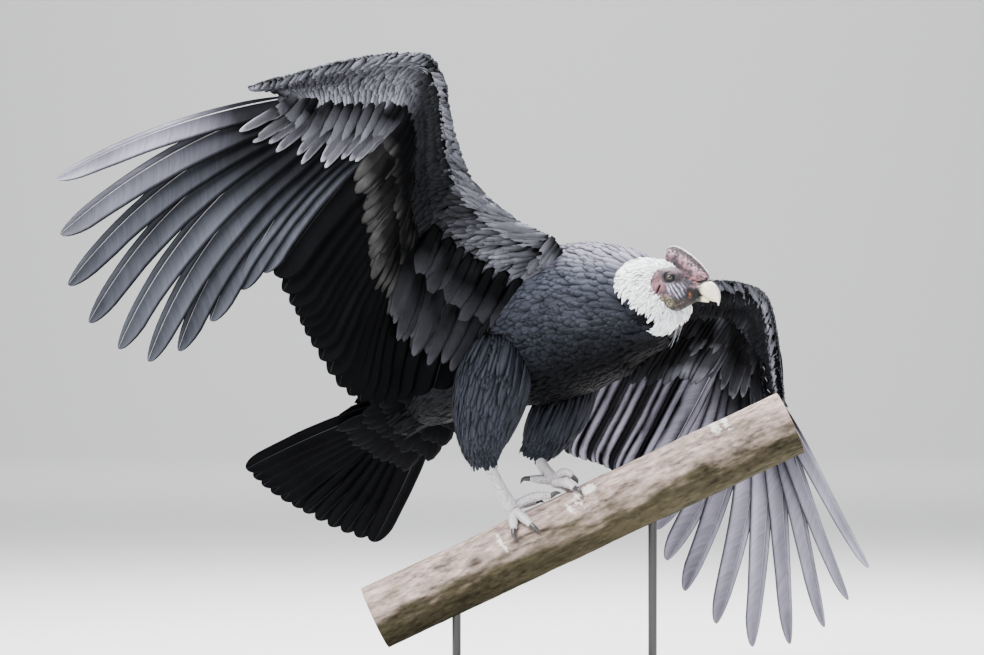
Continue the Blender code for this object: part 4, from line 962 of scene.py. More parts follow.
def plume_tint(feathers, base, tip, share, cloud=0.25, seed=1, edge=0.10, start=0.3):
    """A feather's colour from base to tip, mottled, with a rim that is lighter, or darker where edge is less
    than nothing."""
    t, c = feathers["t"], feathers["c"]
    mottle = layered(feathers["points"], 0.03, seed) * cloud
    tint = mix(np.clip(share * (ease(t, start, 0.95) + mottle), 0, 1), base, tip)
    rim = ease(np.maximum(np.abs(c), 3 * t - 2), 0.70, 1.0) * ease(t, 0.4, 0.9)
    tint = mix(rim * np.maximum(edge, 0), tint, np.asarray(tip) * 1.5 + 0.01)
    return mix(rim * np.maximum(-np.asarray(edge), 0), tint, np.asarray(base) * 0.6)


# How strong the painted lilac highlight is on top of the back
PAINTED_BACK_HIGHLIGHT = 0.42


def body_plumage(inks):
    """The contour feathers of the back, breast and flanks, in staggered rows from the crop to the rump."""
    draw = np.random.default_rng(11)
    coat = Coat(21)
    loft = LOFTS["torso"]
    share, turn = fields(loft, (0.0105, 0.0105), 0.03, 0.97, draw)
    root = loft.place(share, turn, -0.004)[0]
    keep = ~covered(root, ("thigh_right", "thigh_left", "neck"), 0.010)
    share, turn = share[keep], turn[keep]
    length = np.interp(share, (0, 0.2, 0.6, 1), (0.060, 0.056, 0.048, 0.036))
    wide = np.interp(share, (0, 0.6, 1), (0.0098, 0.0092, 0.0078))
    made = contour(loft, share, turn, length, wide, 0.006, 0.0006, draw, camber=0.10, ragged=0.25, roll=3.0,
                   rows=5, cols=3, bow=0.03)
    # Painted light from above: feathers that face up get lighter sheen tips, those that face down stay black
    height = loft.place(share, turn, 0.0)[1][:, 2]
    painted_top_light = (ease(height, -0.75, 0.7) * ease(share, 0.10, 0.60))[:, None]
    # A painted lilac highlight on the topmost feathers of the back
    high = (ease(height, 0.45, 1.0) * ease(share, 0.4, 0.8))[:, None]
    tip = mix(high, inks.painted_sheen, np.array(inks.painted_lit_lilac) * PAINTED_BACK_HIGHLIGHT)
    tint = plume_tint(made, inks.black, tip, 0.04 + 0.96 * painted_top_light, seed=5, edge=0.0, start=-1.2)
    coat.add(made, tint, patches(turn / (2 * math.pi), share, (0.02, 0.30), (0.42, 0.36)))
    return coat


def below_ruff(points, margin=0.0):
    """Which points lie under the slanting line where the crop's dark feathers end the ruff's lower rear."""
    return (points[:, 2] + margin < 0.8143 - 0.733 * (points[:, 0] - 0.1836)) & (points[:, 0] < 0.252)


def before_ruff(points):
    """Which points lie past the slanting line under the throat where the ruff ends."""
    return points[:, 2] < 0.752 + 1.11 * (points[:, 0] - 0.2877)


def crop_plumage(inks):
    """Shorter feathers over the neck's root below the ruff, with the shoulder's feathers above each wing."""
    draw = np.random.default_rng(12)
    coat = Coat(22)
    loft = LOFTS["neck"]
    share, turn = fields(loft, (0.010, 0.012), 0.04, 0.62, draw)
    keep = (share < 0.46) | below_ruff(loft.place(share, turn, 0.0)[0], 0.006)
    share, turn = share[keep], turn[keep]
    made = contour(loft, share, turn, 0.042, 0.0105, 0.010, 0.0015, draw, camber=0.07, ragged=0.25)
    # Painted light from above: a lilac highlight on top, lighter sheen tips where the feathers face up, black
    # below
    height = loft.place(share, turn, 0.0)[1][:, 2]
    tip = mix(ease(height, 0.3, 0.9)[:, None], inks.painted_sheen, np.array(inks.painted_lit_lilac) * PAINTED_BACK_HIGHLIGHT)
    painted_top_light = 0.06 + 0.94 * ease(height, -0.75, 0.5)[:, None]
    tint = plume_tint(made, inks.black, tip, painted_top_light, seed=6, edge=0.0, start=-1.2)
    coat.add(made, tint, patches(turn / (2 * math.pi), share, (0.46, 0.30), (0.20, 0.20)))
    for side, shoulder in (("right", SHOULDER_RIGHT), ("left", SHOULDER_LEFT)):
        shoulder_rows(coat, side, shoulder, inks, draw)
    return coat


def shoulder_rows(coat, side, shoulder, inks, draw):
    """Rows of feathers on both faces between the wing's last chord and the chord inside the body: a point is
    (1 - u) (place on the wing) + u (place in the shoulder), and each feather lies back along the chord."""
    sheet = WINGS[side]
    lead, rear = np.array(shoulder)
    count = 11

    def bridge(u, chord, face, lift):
        near, _, up = sheet.skin(np.full(len(u), 31.0), chord, face, lift)
        full = 0.024 * fullness(chord) + lift
        far = lead + (rear - lead) * chord[:, None] + up * (face * full)[:, None]
        return (1 - u)[:, None] * near + u[:, None] * far, up * face

    for face in (1, -1):
        for k, chord in enumerate(np.arange(-0.05, 1.15, 0.115)):
            u = 0.62 * (np.arange(count) + 0.5 * (k % 2)) / count + draw.uniform(-0.03, 0.03, count)
            where = np.full(count, chord) + draw.uniform(-0.02, 0.02, count)
            start, up = bridge(u, where, face, -0.002)
            size = 0.044 * draw.uniform(0.85, 1.15, count)
            end = bridge(u, where + size / 0.15, face, 0.003)[0]
            tangent = bridge(u + 0.05, where, face, 0.0)[0] - bridge(u - 0.05, where, face, 0.0)[0]
            made = blades(start, end, unit(tangent), up, np.full((count, 2), 0.0095), cols=3, bow=(0.0, 0.04),
                          ragged=0.15, seed=31 + k)
            # Upper faces take the painted sheen for their tips
            shade = np.array(inks.painted_sheen) if face > 0 else 0.6 * np.array(inks.grey)
            tint = plume_tint(made, inks.black, shade, (0.85 - 0.3 * u)[:, None], seed=8, start=-0.2)
            coat.add(made, tint, patches(u, where, (0.70, 0.30 + 0.1 * (face > 0)), (0.08, 0.06)))


def thigh_plumage(inks):
    """The thighs' long shaggy feathers, which hang down over the feet."""
    draw = np.random.default_rng(13)
    coat = Coat(23)
    for k, name in enumerate(("thigh_right", "thigh_left")):
        loft = LOFTS[name]
        share, turn = fields(loft, (0.0085, 0.0092), 0.04, 0.90, draw)
        root = loft.place(share, turn, -0.004)[0]
        keep = ~covered(root, ("torso",), 0.006)
        share, turn = share[keep], turn[keep]
        length = np.interp(share, (0, 0.5, 0.75, 1), (0.060, 0.062, 0.046, 0.026))
        wide = np.interp(share, (0, 0.6, 1), (0.0082, 0.0068, 0.0048))
        made = contour(loft, share, turn, length, wide, 0.008, 0.004, draw, flow=1, shape="long", drop=0.15,
                       ragged=0.3, roll=9.0, cols=3, camber=0.12, swing=0.10)
        # The tips take the painted sheen
        tint = plume_tint(made, inks.black, inks.painted_sheen, 0.55, seed=9, edge=0.0, start=-0.6)
        coat.add(made, tint, patches(turn / (2 * math.pi), share, (0.02 + 0.22 * k, 0.70), (0.19, 0.20)))
    return coat


def tail_frame():
    """The tail's left side and its under side."""
    left = across(unit(TAIL_LEFT), TAIL_WAY)
    down = np.cross(left, TAIL_WAY)
    return left, down if down[2] < 0 else -down


def tail_plumage(inks):
    """Twelve tail feathers fanned from the rump, and the coverts over and under their bases."""
    draw = np.random.default_rng(14)
    coat = Coat(24)
    left, down = tail_frame()
    share = 2 * np.arange(12) / 11 - 1
    way = np.cos(share * TAIL_SPREAD)[:, None] * TAIL_WAY + np.sin(share * TAIL_SPREAD)[:, None] * left
    start = TAIL_PLACE + left * (share * 0.028)[:, None] + down * (0.006 * np.abs(share) - 0.003)[:, None]
    end = start + way * (TAIL_LENGTH * (1 - 0.02 * share**2))[:, None]
    end = end + down * (0.012 * np.abs(share))[:, None]
    outward = left * np.where(share > 0, 1, -1)[:, None]
    made = blades(start, end, outward, -down, (0.0245, 0.0305), "secondary", rows=24, cols=9, camber=0.05,
                  bow=(0.02, 0.015), shaft=0.0015, thick=0.0007, roll=math.radians(7), ragged=0.05)
    dark = mix(0.25 + 0.2 * layered(made["points"], 0.04, 3), inks.black, inks.dusk)
    dark = mix(np.exp(-((made["c"] / 0.07) ** 2)) * 0.35, dark, inks.grey)
    origin = np.stack([0.02 + 0.04 * np.arange(12), np.full(12, FLIGHT_ROWS["tail"])], -1)
    coat.add(made, dark, origin, (0.034, 0.07))
    for face in (1, -1):
        for k, reach in enumerate((0.17, 0.135, 0.10, 0.07)):
            count = 11
            part = 2 * (np.arange(count) + 0.5 * (k % 2)) / count - 1
            turn = part * (0.42 + 0.12 * k)
            way = np.cos(turn)[:, None] * TAIL_WAY + np.sin(turn)[:, None] * left
            start = TAIL_PLACE - TAIL_WAY * 0.02 * k + left * (part * (0.032 + 0.006 * k))[:, None]
            start = start + down * face * (0.006 + 0.006 * k)
            end = start + way * (reach * draw.uniform(0.92, 1.08, count))[:, None] + down * face * 0.010
            made = blades(start, end, left, down * face, (0.020, 0.020), rows=7, bow=(0.0, 0.05), ragged=0.08,
                          seed=40 + k)
            tint = plume_tint(made, inks.black, inks.dusk, 0.5, seed=10)
            corner = (0.60, 0.70 + 0.1 * (face > 0))
            coat.add(made, tint, patches(part / 2 + 0.5, np.full(count, k / 4), corner, (0.2, 0.08)))
    return coat


def wing_coverts(side, inks):
    """The tiers of coverts on both faces of a wing, its alula, and the long feathers in its armpit."""
    draw = np.random.default_rng(15 + (side == "left"))
    coat = Coat(25)
    near = side == "right"
    # Coverts on the upper faces take the painted sheen for their tips
    grey, painted_sheen = inks.grey, inks.painted_sheen

    def lay(face, ends, count, chord, size, lifts, tip, share=None, edge=0.2, begin=0.3, **more):
        """One row between two feather numbers, with its length and half width, and root and tip lifts."""
        made, numbers, chords = tier(side, face, ends, count, chord, size, lifts, draw, **more)
        own = grey_share(side, face, numbers, chords) if share is None else np.full(count, share)
        own = np.clip(own * draw.uniform(0.75, 1.2, count), 0, 1)[:, None]
        seed = int(draw.integers(1, 99))
        tint = plume_tint(made, inks.black, tip, own, seed=seed, edge=edge * own, start=begin)
        corner = (0.02 if near else 0.50, 0.02 + 0.3 * (face > 0))
        coat.add(made, tint, patches(numbers / 33.0, chords / 1.3, corner, (0.44, 0.26)))

    # Greater coverts over the bases of the flight feathers, in two overlapping rows underneath
    own = 0.9 if near else None
    pale, brown = (inks.pale, inks.brown) if near else (grey, grey)
    lay(-1, (0.6, 9.2), 12, 0.86, (0.150, 0.0110), (0.000, 0.009), pale, 0.14, 2.6, rows=10, shape="long",
        thick=0.0007)
    lay(-1, (0.8, 9.4), 12, 0.72, (0.115, 0.0125), (0.002, 0.010), grey, 0.45, 0.8, rows=8)
    lay(-1, (10.0, 29.5), 26, 0.84, (0.172, 0.0175), (0.000, 0.010), brown, own, -0.8, 0.62, rows=9, roll=14.0,
        thick=0.0007)
    lay(-1, (10.0, 30.0), 27, 0.78, (0.128, 0.0160), (0.003, 0.011), brown, own, -0.8, 0.55, rows=9, roll=14.0)
    # The hand's upper greater coverts take the painted sheen
    lay(1, (0.6, 9.2), 12, 0.84, (0.165, 0.0185), (0.000, 0.010), painted_sheen, 0.5, rows=9, thick=0.0007)
    lay(1, (10.2, 29.5), 24, 0.82, (0.165, 0.0215), (0.000, 0.011), inks.white, 0.75, 0.1, rows=9, thick=0.0007)
    # Median and lesser coverts in ever shorter rows towards the leading edge
    ladder = ((0.70, 0.085, 0.0135), (0.60, 0.068, 0.0125), (0.51, 0.058, 0.0115), (0.43, 0.050, 0.0110),
              (0.35, 0.045, 0.0105), (0.28, 0.041, 0.0100), (0.21, 0.038, 0.0095), (0.14, 0.036, 0.0090),
              (0.07, 0.034, 0.0088), (0.01, 0.032, 0.0085))
    lifts, plain = (0.0005, 0.0025), {"cols": 3, "rows": 5}
    for k, (chord, length, wide) in enumerate(ladder):
        hand = 0.82 * max(0.55, 1 - 0.03 * k)
        small, many = (1.0, 1.0) if k < 2 else (0.80, 1.35)
        for face in (-1, 1):
            # Upper faces take the painted sheen
            tip = grey if face < 0 else painted_sheen
            lay(face, (0.2, 9.6), round((21 + 1.2 * k) * many), chord, (length * hand, wide * 0.85 * small),
                lifts, tip, skew=-0.10 * k, begin=0.0, **plain)
            lay(face, (9.8, 31), round((36 + 2.6 * k) * many), chord, (length, wide * small), lifts, tip,
                skew=-0.16 * k, begin=0.0, **plain)
    # The leading edge, whose small feathers wrap it
    lifts = (-0.002, 0.0012)
    for face in (-1, 1):
        for chord in (-0.03, 0.03):
            lay(face, (-0.4, 9.6), 56, chord, (0.026, 0.0060), lifts, grey, 0.5, skew=-1.3, begin=-2, **plain)
            lay(face, (9.4, 31), 92, chord, (0.030, 0.0066), lifts, grey, 0.6, skew=-2.2, begin=-2, **plain)
    # Long black feathers that fill the armpit
    lay(-1, (24.5, 31), 13, 0.75, (0.20, 0.0190), (-0.002, 0.014), grey, 0.13, 0.8, rows=10, wander=0.5)
    lay(-1, (25.5, 31), 12, 0.55, (0.15, 0.0165), (0.004, 0.016), grey, 0.16, 0.8, rows=8, wander=0.5)
    alula(coat, side, inks)
    return coat


def alula(coat, side, inks):
    """The three stiff feathers of the thumb, along the wrist's leading edge."""
    sheet = WINGS[side]
    numbers = np.array((4.5, 5.7, 6.9))
    start, outward, up = sheet.at(numbers, np.full(3, 0.12))
    forward = start - sheet.at(numbers, np.full(3, 1.0))[0]
    k = np.arange(3.0)[:, None]
    end = start + outward * (0.115 - 0.018 * k) + up * (0.012 + 0.003 * k) - forward * 0.3
    made = blades(start, end, unit(forward), up, np.tile((0.010, 0.014), (3, 1)), "primary", rows=12, cols=7,
                  bow=(0.02, 0.04), camber=0.08, shaft=0.0009)
    tint = plume_tint(made, inks.black, inks.dusk, 0.5)
    coat.add(made, tint, patches(k[:, 0] / 4, k[:, 0] * 0 + 0.5, (0.92, 0.62), (0.05, 0.02)))


def flight_coat(side, inks):
    """All the flight feathers of one wing."""
    coat = Coat(27)
    for primary in (True, False):
        made = flight_feathers(side, primary)
        tint = flight_tint(side, primary, made, inks)
        numbers = np.arange(len(made["t"])) + (0 if primary else 10)
        origin = np.stack([0.02 + 0.035 * numbers, np.full(len(numbers), FLIGHT_ROWS[side])], -1)
        coat.add(made, tint, origin, (0.03, 0.07))
    return coat


def ruff_coat(inks):
    """The collar of dense white down: short soft tufts that lie back over a round roll, several deep, and thin
    wisps that hang below."""
    draw = np.random.default_rng(18)
    coat = Coat(28)
    loft = LOFTS["ruff"]
    layers = ((0.006, 0.001, 0.017, 0.0056), (0.004, 0.0040, 0.013, 0.0046))
    for layer, (depth, lift, length, wide) in enumerate(layers):
        share, turn = fields(loft, (0.0056, 0.0080), 0.03, 0.99, draw, 0.5)
        root = loft.place(share, turn, 0.0)[0]
        keep = ~below_ruff(root, -0.004) & ~before_ruff(root)
        share, turn = share[keep], turn[keep]
        made = contour(loft, share, turn, length, wide, depth, lift, draw, shape="wisp", rows=6, camber=0.45,
                       ragged=0.35, bow=0.14, thick=0.0005, roll=26.0, swing=0.22)
        shade = layered(made["points"], 0.012, 4) * 0.5 + 0.5
        tint = mix((0.55 - 0.5 * made["t"]) * shade * (1 - 0.4 * layer), inks.white_down, inks.down_shade)
        coat.add(made, tint, patches(turn / (2 * math.pi), share, (0.02, 0.02 + 0.3 * layer), (0.9, 0.28)))
    low = fields(loft, (0.010, 0.012), 0.05, 0.45, draw, 0.5)
    start, out = loft.place(low[0], low[1], -0.006)
    hang = (out[:, 2] < -0.30) & (out[:, 1] < 0.5) & (start[:, 0] > 0.285)
    hang = hang & (draw.uniform(0, 1, len(out)) < 0.5)
    start, out = start[hang], out[hang]
    count = len(start)
    reach = draw.uniform(0.030, 0.060, count)[:, None]
    end = start + unit(np.array((-0.40, 0.0, -1.0)) + 0.2 * out + draw.normal(0, 0.12, (count, 3))) * reach
    made = blades(start, end, unit(np.cross(end - start, out)), out, np.full((count, 2), 0.0012), "wisp", rows=7,
                  cols=3, bow=(0.05, 0.06), camber=0.2, ragged=0.2, thick=0.0004)
    tint = mix(0.3 + 0.6 * made["t"], inks.white_down, inks.pale)
    coat.add(made, tint, patches(low[1][hang] / (2 * math.pi), low[0][hang], (0.02, 0.64), (0.9, 0.3)))
    nape_down(coat, inks, draw)
    return coat


def nape_down(coat, inks, draw):
    """Down over the back of the head and the crown behind the comb, up to the line where the bare face begins."""
    rings = head_rings(SKULL, 120, 150)
    out = ring_normals(rings)
    spots, ways = rings.reshape(-1, 3), out.reshape(-1, 3)
    edge = np.interp(spots[:, 2], (-0.05, -0.040, -0.025, 0.0, 0.0192, 0.0272, 0.033, 0.036, 0.05),
                     (-0.026, -0.027, -0.031, -0.035, -0.0323, -0.0231, -0.0103, 0.0020, 0.006))
    edge = edge + 0.0022 * noise(spots, 0.006, 81)
    pick = np.flatnonzero((spots[:, 0] < edge) & (spots[:, 0] > -0.058))
    pick = draw.choice(pick, min(2200, len(pick)), replace=False)
    start = head_place(spots[pick] - 0.002 * ways[pick])
    up = ways[pick] @ HEAD_AXES
    back = across(-HEAD_FORWARD - 0.35 * HEAD_UP + draw.normal(0, 0.25, (len(pick), 3)), up)
    shorter = np.interp(spots[pick, 0], (-0.04, -0.01), (1.0, 0.55))
    size = (draw.uniform(0.008, 0.013, len(pick)) * shorter)[:, None]
    end = start + back * size + up * size * draw.uniform(0.35, 0.8, (len(pick), 1))
    made = blades(start, end, np.cross(back, up), up, np.full((len(pick), 2), 0.0036), "wisp", rows=5, cols=3,
                  bow=(0.0, 0.12), camber=0.4, ragged=0.35, thick=0.0005)
    tint = mix((0.5 - 0.5 * made["t"]), inks.white_down, inks.down_shade)
    around, along = spots[pick, 1] * 6 + 0.5, spots[pick, 0] * 12 + 0.75
    coat.add(made, tint, patches(around, along, (0.955, 0.02), (0.04, 0.5)))


def head_place(local):
    """Points given as forwards, left and up in the head's own axes, in the frame."""
    local = np.asarray(local, float)
    return HEAD_PLACE + local @ HEAD_AXES


def head_rings(sections, count, sides, power=1.0):
    """Rings in the head's axes through upright sections: the middle + (top - foot) / 2 sin a, and the half width
    cos a to either side, both smoothed along the form."""
    foot = np.array([section[0] for section in sections])
    top = np.array([section[1] for section in sections])
    half = np.array([section[2] for section in sections])
    where = np.linspace(0, 1, len(sections))
    fine = np.linspace(0, 1, count)
    foot, top = spline(where, foot, fine), spline(where, top, fine)
    half = np.maximum(spline(where, half[:, None], fine)[:, 0], 0.0004)
    turn = np.linspace(0, 2 * math.pi, sides, endpoint=False)
    sin = np.sign(np.sin(turn)) * np.abs(np.sin(turn)) ** power
    cos = np.sign(np.cos(turn)) * np.abs(np.cos(turn)) ** power
    middle, rise = (foot + top) / 2, (top - foot) / 2
    x = middle[:, 0, None] + sin * rise[:, 0, None]
    z = middle[:, 1, None] + sin * rise[:, 1, None]
    return np.stack([x, half[:, None] * cos, z], -1)


def ring_normals(rings):
    """The ways out of a form of rings, from the crossed differences along it and round it."""
    along = np.gradient(rings, axis=0)
    round_it = np.roll(rings, -1, 1) - np.roll(rings, 1, 1)
    out = unit(np.cross(round_it, along))
    middle = rings.mean(axis=1, keepdims=True)
    return np.where((out * (rings - middle)).sum(-1, keepdims=True).mean() < 0, -out, out)


def near_line(x, z, line, count=48):
    """How far each place (x, z) lies from a smooth line of such places, and the share along it."""
    points = through(line, count)
    gap = np.hypot(x[..., None] - points[:, 0], z[..., None] - points[:, 1])
    return gap.min(-1), gap.argmin(-1) / (count - 1)


def ridge(x, z, line, width, fade=0.15):
    """A smooth ridge of unit height along a line, which fades towards its ends."""
    gap, share = near_line(x, z, line)
    return np.exp(-((gap / width) ** 2)) * ease(share, -0.02, fade) * (1 - ease(share, 1 - fade, 1.02))


CHEEK_FOLDS = (
    ((-0.0030, -0.0010), (0.0010, -0.0080), (0.0055, -0.0150), (0.0105, -0.0215)),
    ((0.0010, 0.0030), (0.0065, -0.0045), (0.0150, -0.0140), (0.0255, -0.0275)),
    ((0.0060, 0.0045), (0.0130, -0.0015), (0.0210, -0.0095), (0.0310, -0.0225)),
    ((0.0130, 0.0070), (0.0200, 0.0020), (0.0280, -0.0055), (0.0360, -0.0165)),
    ((0.0200, 0.0095), (0.0260, 0.0055), (0.0325, -0.0005), (0.0385, -0.0085)),
)
FOLD_STRENGTH = (0.8, 1.0, 0.9, 0.7, 0.5)
JOWL_FOLDS = (
    ((-0.027, -0.020), (-0.016, -0.031), (0.000, -0.036), (0.016, -0.035), (0.030, -0.027)),
    ((-0.028, -0.032), (-0.014, -0.041), (0.004, -0.0445), (0.018, -0.042), (0.030, -0.034)),
)
BROW = ((-0.019, 0.012), (-0.014, 0.0225), (-0.003, 0.0265), (0.008, 0.0235), (0.018, 0.015))
EAR_SLIT = ((-0.0160, -0.0035), (-0.0185, -0.0125), (-0.0215, -0.0225))
MOUTH_LINE = ((0.0310, -0.0020), (0.0400, -0.0044), (0.0520, -0.0060), (0.0600, -0.0072))
GAZE_FORWARD = 0.25


def eye_centre(side):
    """The eyeball's centre, sunk below the skull's side, in the head's axes."""
    x, z = EYE_PLACE
    places = [(s[0][0] + s[1][0]) / 2 for s in SKULL]
    foot, top, half = (np.interp(x, places, values) for values in (
        [s[0][1] for s in SKULL], [s[1][1] for s in SKULL], [s[2] for s in SKULL]))
    share = (z - (foot + top) / 2) / ((top - foot) / 2)
    return np.array((x, side * (half * math.sqrt(1 - share**2) - EYE_SINK), z))


def gaze(side):
    """The way an eye looks, and the ways forwards and up across it, in the head's axes."""
    look = unit(np.array((GAZE_FORWARD, side, 0.10)))
    up = across(np.array((0.0, 0.0, 1.0)), look)
    return look, np.cross(up, look) * side, up


def lid_measure(u, w):
    """One on the rim of the lids' almond opening: |w| / (a (1 - (u/b)^2)) blended with the ellipse through it."""
    b, a = LID_HALF_LENGTH, LID_HALF_HEIGHT
    return np.sqrt((u / b) ** 2 + (w / (a * (1 - 0.35 * np.clip(np.abs(u) / b, 0, 1) ** 2))) ** 2)


def set_eyes(rings):
    """Draw the skin round each eyeball: inside the lids' opening it goes behind the ball, round it it hugs the
    ball as a lid does, and farther out it comes back to its own place."""
    for side in (1, -1):
        centre = eye_centre(side)
        look, ahead, up = gaze(side)
        gap = rings - centre
        u, w, depth = gap @ ahead, gap @ up, gap @ look
        e = lid_measure(u, w)
        facing = depth > -0.002
        flat = np.hypot(u, w)
        ball = np.sqrt(np.clip(EYE_RADIUS**2 - flat**2, 0, None))
        lid = np.sqrt(np.clip((EYE_RADIUS + 0.0013) ** 2 - flat**2, 0, None))
        wanted = np.where(e < 1.0, ball - 0.0030, np.maximum(lid, 0.0))
        share = 1 - ease(flat, 0.0078, 0.0125)
        share = np.where(e < 1.0, 1.0, share) * facing * (flat < 0.0125)
        moved = rings + look * ((wanted - depth) * share)[..., None]
        rings = moved
    return rings


def head_skin(settings):
    """The bare head's form and colours. Its skull is drawn out along its normals by the folds of the
    cheeks and jowls, the brow, the rims of the ears, hollows before the eyes, warts and fine wrinkles."""
    inks = settings
    rings = head_rings(SKULL, 220, 200)
    out = ring_normals(rings)
    x, y, z = rings[..., 0], rings[..., 1], rings[..., 2]
    sideways = ease(np.abs(y), 0.006, 0.018)
    here = rings
    swell = np.zeros_like(x)
    folds = np.zeros_like(x)
    bent_x = x + 0.0012 * noise(here, 0.006, 17)
    bent_z = z + 0.0012 * noise(here, 0.007, 18)
    for k, line in enumerate(CHEEK_FOLDS):
        folds = np.maximum(folds, FOLD_STRENGTH[k] * ridge(bent_x, bent_z, line, 0.0018, 0.22))
    jowls = np.zeros_like(x)
    for line in JOWL_FOLDS:
        jowls = np.maximum(jowls, ridge(x, z, line, 0.0030, 0.2))
    brow = ridge(x, z, BROW, 0.0028, 0.2)
    ear_gap, ear_share = near_line(x, z, EAR_SLIT)
    ear = np.exp(-((ear_gap / 0.0017) ** 2)) * (1 - ease(np.abs(ear_share - 0.5), 0.42, 0.5))
    ear_rim = np.exp(-(((ear_gap - 0.0042) / 0.0018) ** 2))
    lores = spot(x, z, (0.018, 0.013), (0.012, 0.008))
    behind = spot(x, z, (-0.026, -0.006), (0.010, 0.024))
    jowl = spot(x, z, (0.002, -0.033), (0.024, 0.012))
    warts = np.clip(layered(here, 0.0042, 2, 2), 0, 1)
    fine = layered(here, 0.0020, 5, 2)
    mouth = ridge(x, z, MOUTH_LINE, 0.0010, 0.1)
    corner = spot(x, z, (0.0425, -0.0115), (0.0030, 0.0060))
    corner = corner * np.clip(0.8 + 0.8 * layered(here, 0.004, 23, 2), 0, 1)
    throat = ease(-z, 0.030, 0.045) * np.sin((x + 0.3 * z) * 1100 + 2 * noise(here, 0.02, 8))
    neck_rings = ease(-x, 0.040, 0.055) * np.sin((x * 0.9 + z * 0.2) * 900 + 2.5 * noise(here, 0.016, 9))
    swell += sideways * (0.0021 * folds + 0.0019 * jowls + 0.0016 * brow - 0.0030 * ear + 0.0011 * ear_rim)
    swell += sideways * (-0.0020 * lores + 0.0012 * jowl - 0.0014 * mouth + 0.0016 * corner)
    crease_and_painted_shade = np.clip(1 - np.abs(layered(here * np.array((1.0, 1.0, 1.6)), 0.0060, 14, 2)) / 0.16, 0, 1)
    swell -= 0.0005 * crease_and_painted_shade
    swell += 0.0010 * warts * np.clip(behind + jowl, 0, 1) + 0.00028 * fine
    swell += 0.0005 * throat + 0.0009 * neck_rings
    rings = rings + out * swell[..., None]
    rings = set_eyes(rings)
    tint = mix(0.35 + 1.3 * layered(here, 0.007, 12, 2), inks.ash, inks.face)
    cheek = spot(x, z, (0.018, -0.006), (0.021, 0.015), 2)
    tint = mix(sideways * cheek * 0.8, tint, (0.13, 0.12, 0.17))
    tint = mix(behind * 0.7 * (0.6 + 0.4 * warts), tint, inks.rose)
    tint = mix(sideways * ease(jowl, 0.25, 0.8) * 0.85, tint, inks.jowl)
    speck = np.clip(layered(here, 0.0028, 21, 2), 0, 1) * jowl
    tint = mix(speck * 0.8, tint, inks.speck)
    # Painted shade in the grooves beside each cheek fold
    painted_groove_shade = np.zeros_like(x)
    for line in CHEEK_FOLDS:
        gap, share = near_line(bent_x, bent_z, line)
        ends = ease(share, 0.0, 0.15) * (1 - ease(share, 0.85, 1.0))
        painted_groove_shade = np.maximum(painted_groove_shade, np.exp(-(((gap - 0.0030) / 0.0012) ** 2)) * ends)
    painted_groove_shade = painted_groove_shade * 0.75 * (0.75 + 0.5 * layered(here, 0.005, 25, 2)).clip(0, 1)
    tint = mix(sideways * painted_groove_shade, tint, (0.018, 0.019, 0.030))
    # Painted shade darkens the fine creases
    tint = mix(crease_and_painted_shade * 0.75 * (1 - folds), tint, np.array(inks.ash) * 0.25)
    pale = np.clip(folds * 1.25, 0, 1) ** 2 * (0.72 + 0.7 * layered(here, 0.0035, 19, 2)).clip(0, 1)
    tint = mix(sideways * pale, tint, inks.fold)
    # Painted highlights on the lumps of the lower cheek
    bright = np.clip(layered(here, 0.0034, 22, 2), 0, 1) ** 0.7
    bright = bright * ease(jowl, 0.2, 0.6) * (1 - ease(x, 0.006, 0.020)) * 0.55
    tint = mix(sideways * bright, tint, inks.jowl_highlight)
    crown = ease(z, 0.022, 0.032)
    tint = mix(crown * 0.6, tint, inks.crown)
    socket = spot(x, z, (EYE_PLACE[0] + 0.001, EYE_PLACE[1] - 0.0005), (0.0175, 0.0105), 1.5)
    socket = socket * np.clip(0.93 + 0.25 * layered(here, 0.004, 15), 0, 1)
    tint = mix(sideways * socket, tint, np.array(inks.lores) * 2.2)
    line = ridge(x, z, ((-0.020, 0.004), (-0.012, 0.0005), (-0.002, 0.0010), (0.006, 0.0050)), 0.0016, 0.3)
    tint = mix(sideways * line * 0.22, tint, inks.fold)
    blush = spot(x, z, (-0.0115, -0.0075), (0.0050, 0.0080))
    tint = mix(sideways * blush * 0.7, tint, inks.rose)
    cere = ease(x, 0.026, 0.040)
    dark = np.clip(cere * ease(-z, -0.010, 0.002) * (1 - ease(-z, 0.020, 0.034)), 0, 1)
    tint = mix(dark * 0.97, tint, inks.lores)
    tint = mix(sideways * lores * 0.85 * (1 - folds), tint, np.array(inks.lores) * 3.0)
    tint = mix(sideways * np.clip(corner, 0, 1) * 0.65, tint, inks.gape)
    under = ease(-z, 0.016, 0.028) * ease(x, 0.008, 0.026)
    tint = mix(under * 0.9 * (1 - folds) * np.clip(0.9 + 0.5 * layered(here, 0.004, 24, 2), 0, 1), tint,
               np.array(inks.speck) * 2.0)
    # Painted shade in the ear slit and along the mouth's crease
    tint = mix(np.clip(ear * 1.6, 0, 1) * sideways, tint, (0.012, 0.008, 0.008))
    tint = mix(mouth * sideways * 0.9, tint, (0.02, 0.015, 0.015))
    return shell_of(head_place(rings)), capped_tint(tint)


def rings_round(points, radii, right, up, sides, flat=1.0):
    """Rings round a line's points: the radius along right, and flat times it along up."""
    turn = np.linspace(0, 2 * math.pi, sides, endpoint=False)
    radii = np.broadcast_to(np.asarray(radii, float), len(points))[:, None, None]
    cos, sin = np.cos(turn)[:, None], flat * np.sin(turn)[:, None]
    return points[:, None] + radii * (cos * right[:, None] + sin * up[:, None])


def tube_rings(points, radii, side, sides=24, flat=1.0):
    """Rings round a line: the radius along side, and flat times it square to both."""
    _, right, up = frame_along(points, side)
    return rings_round(points, radii, right, up, sides, flat)


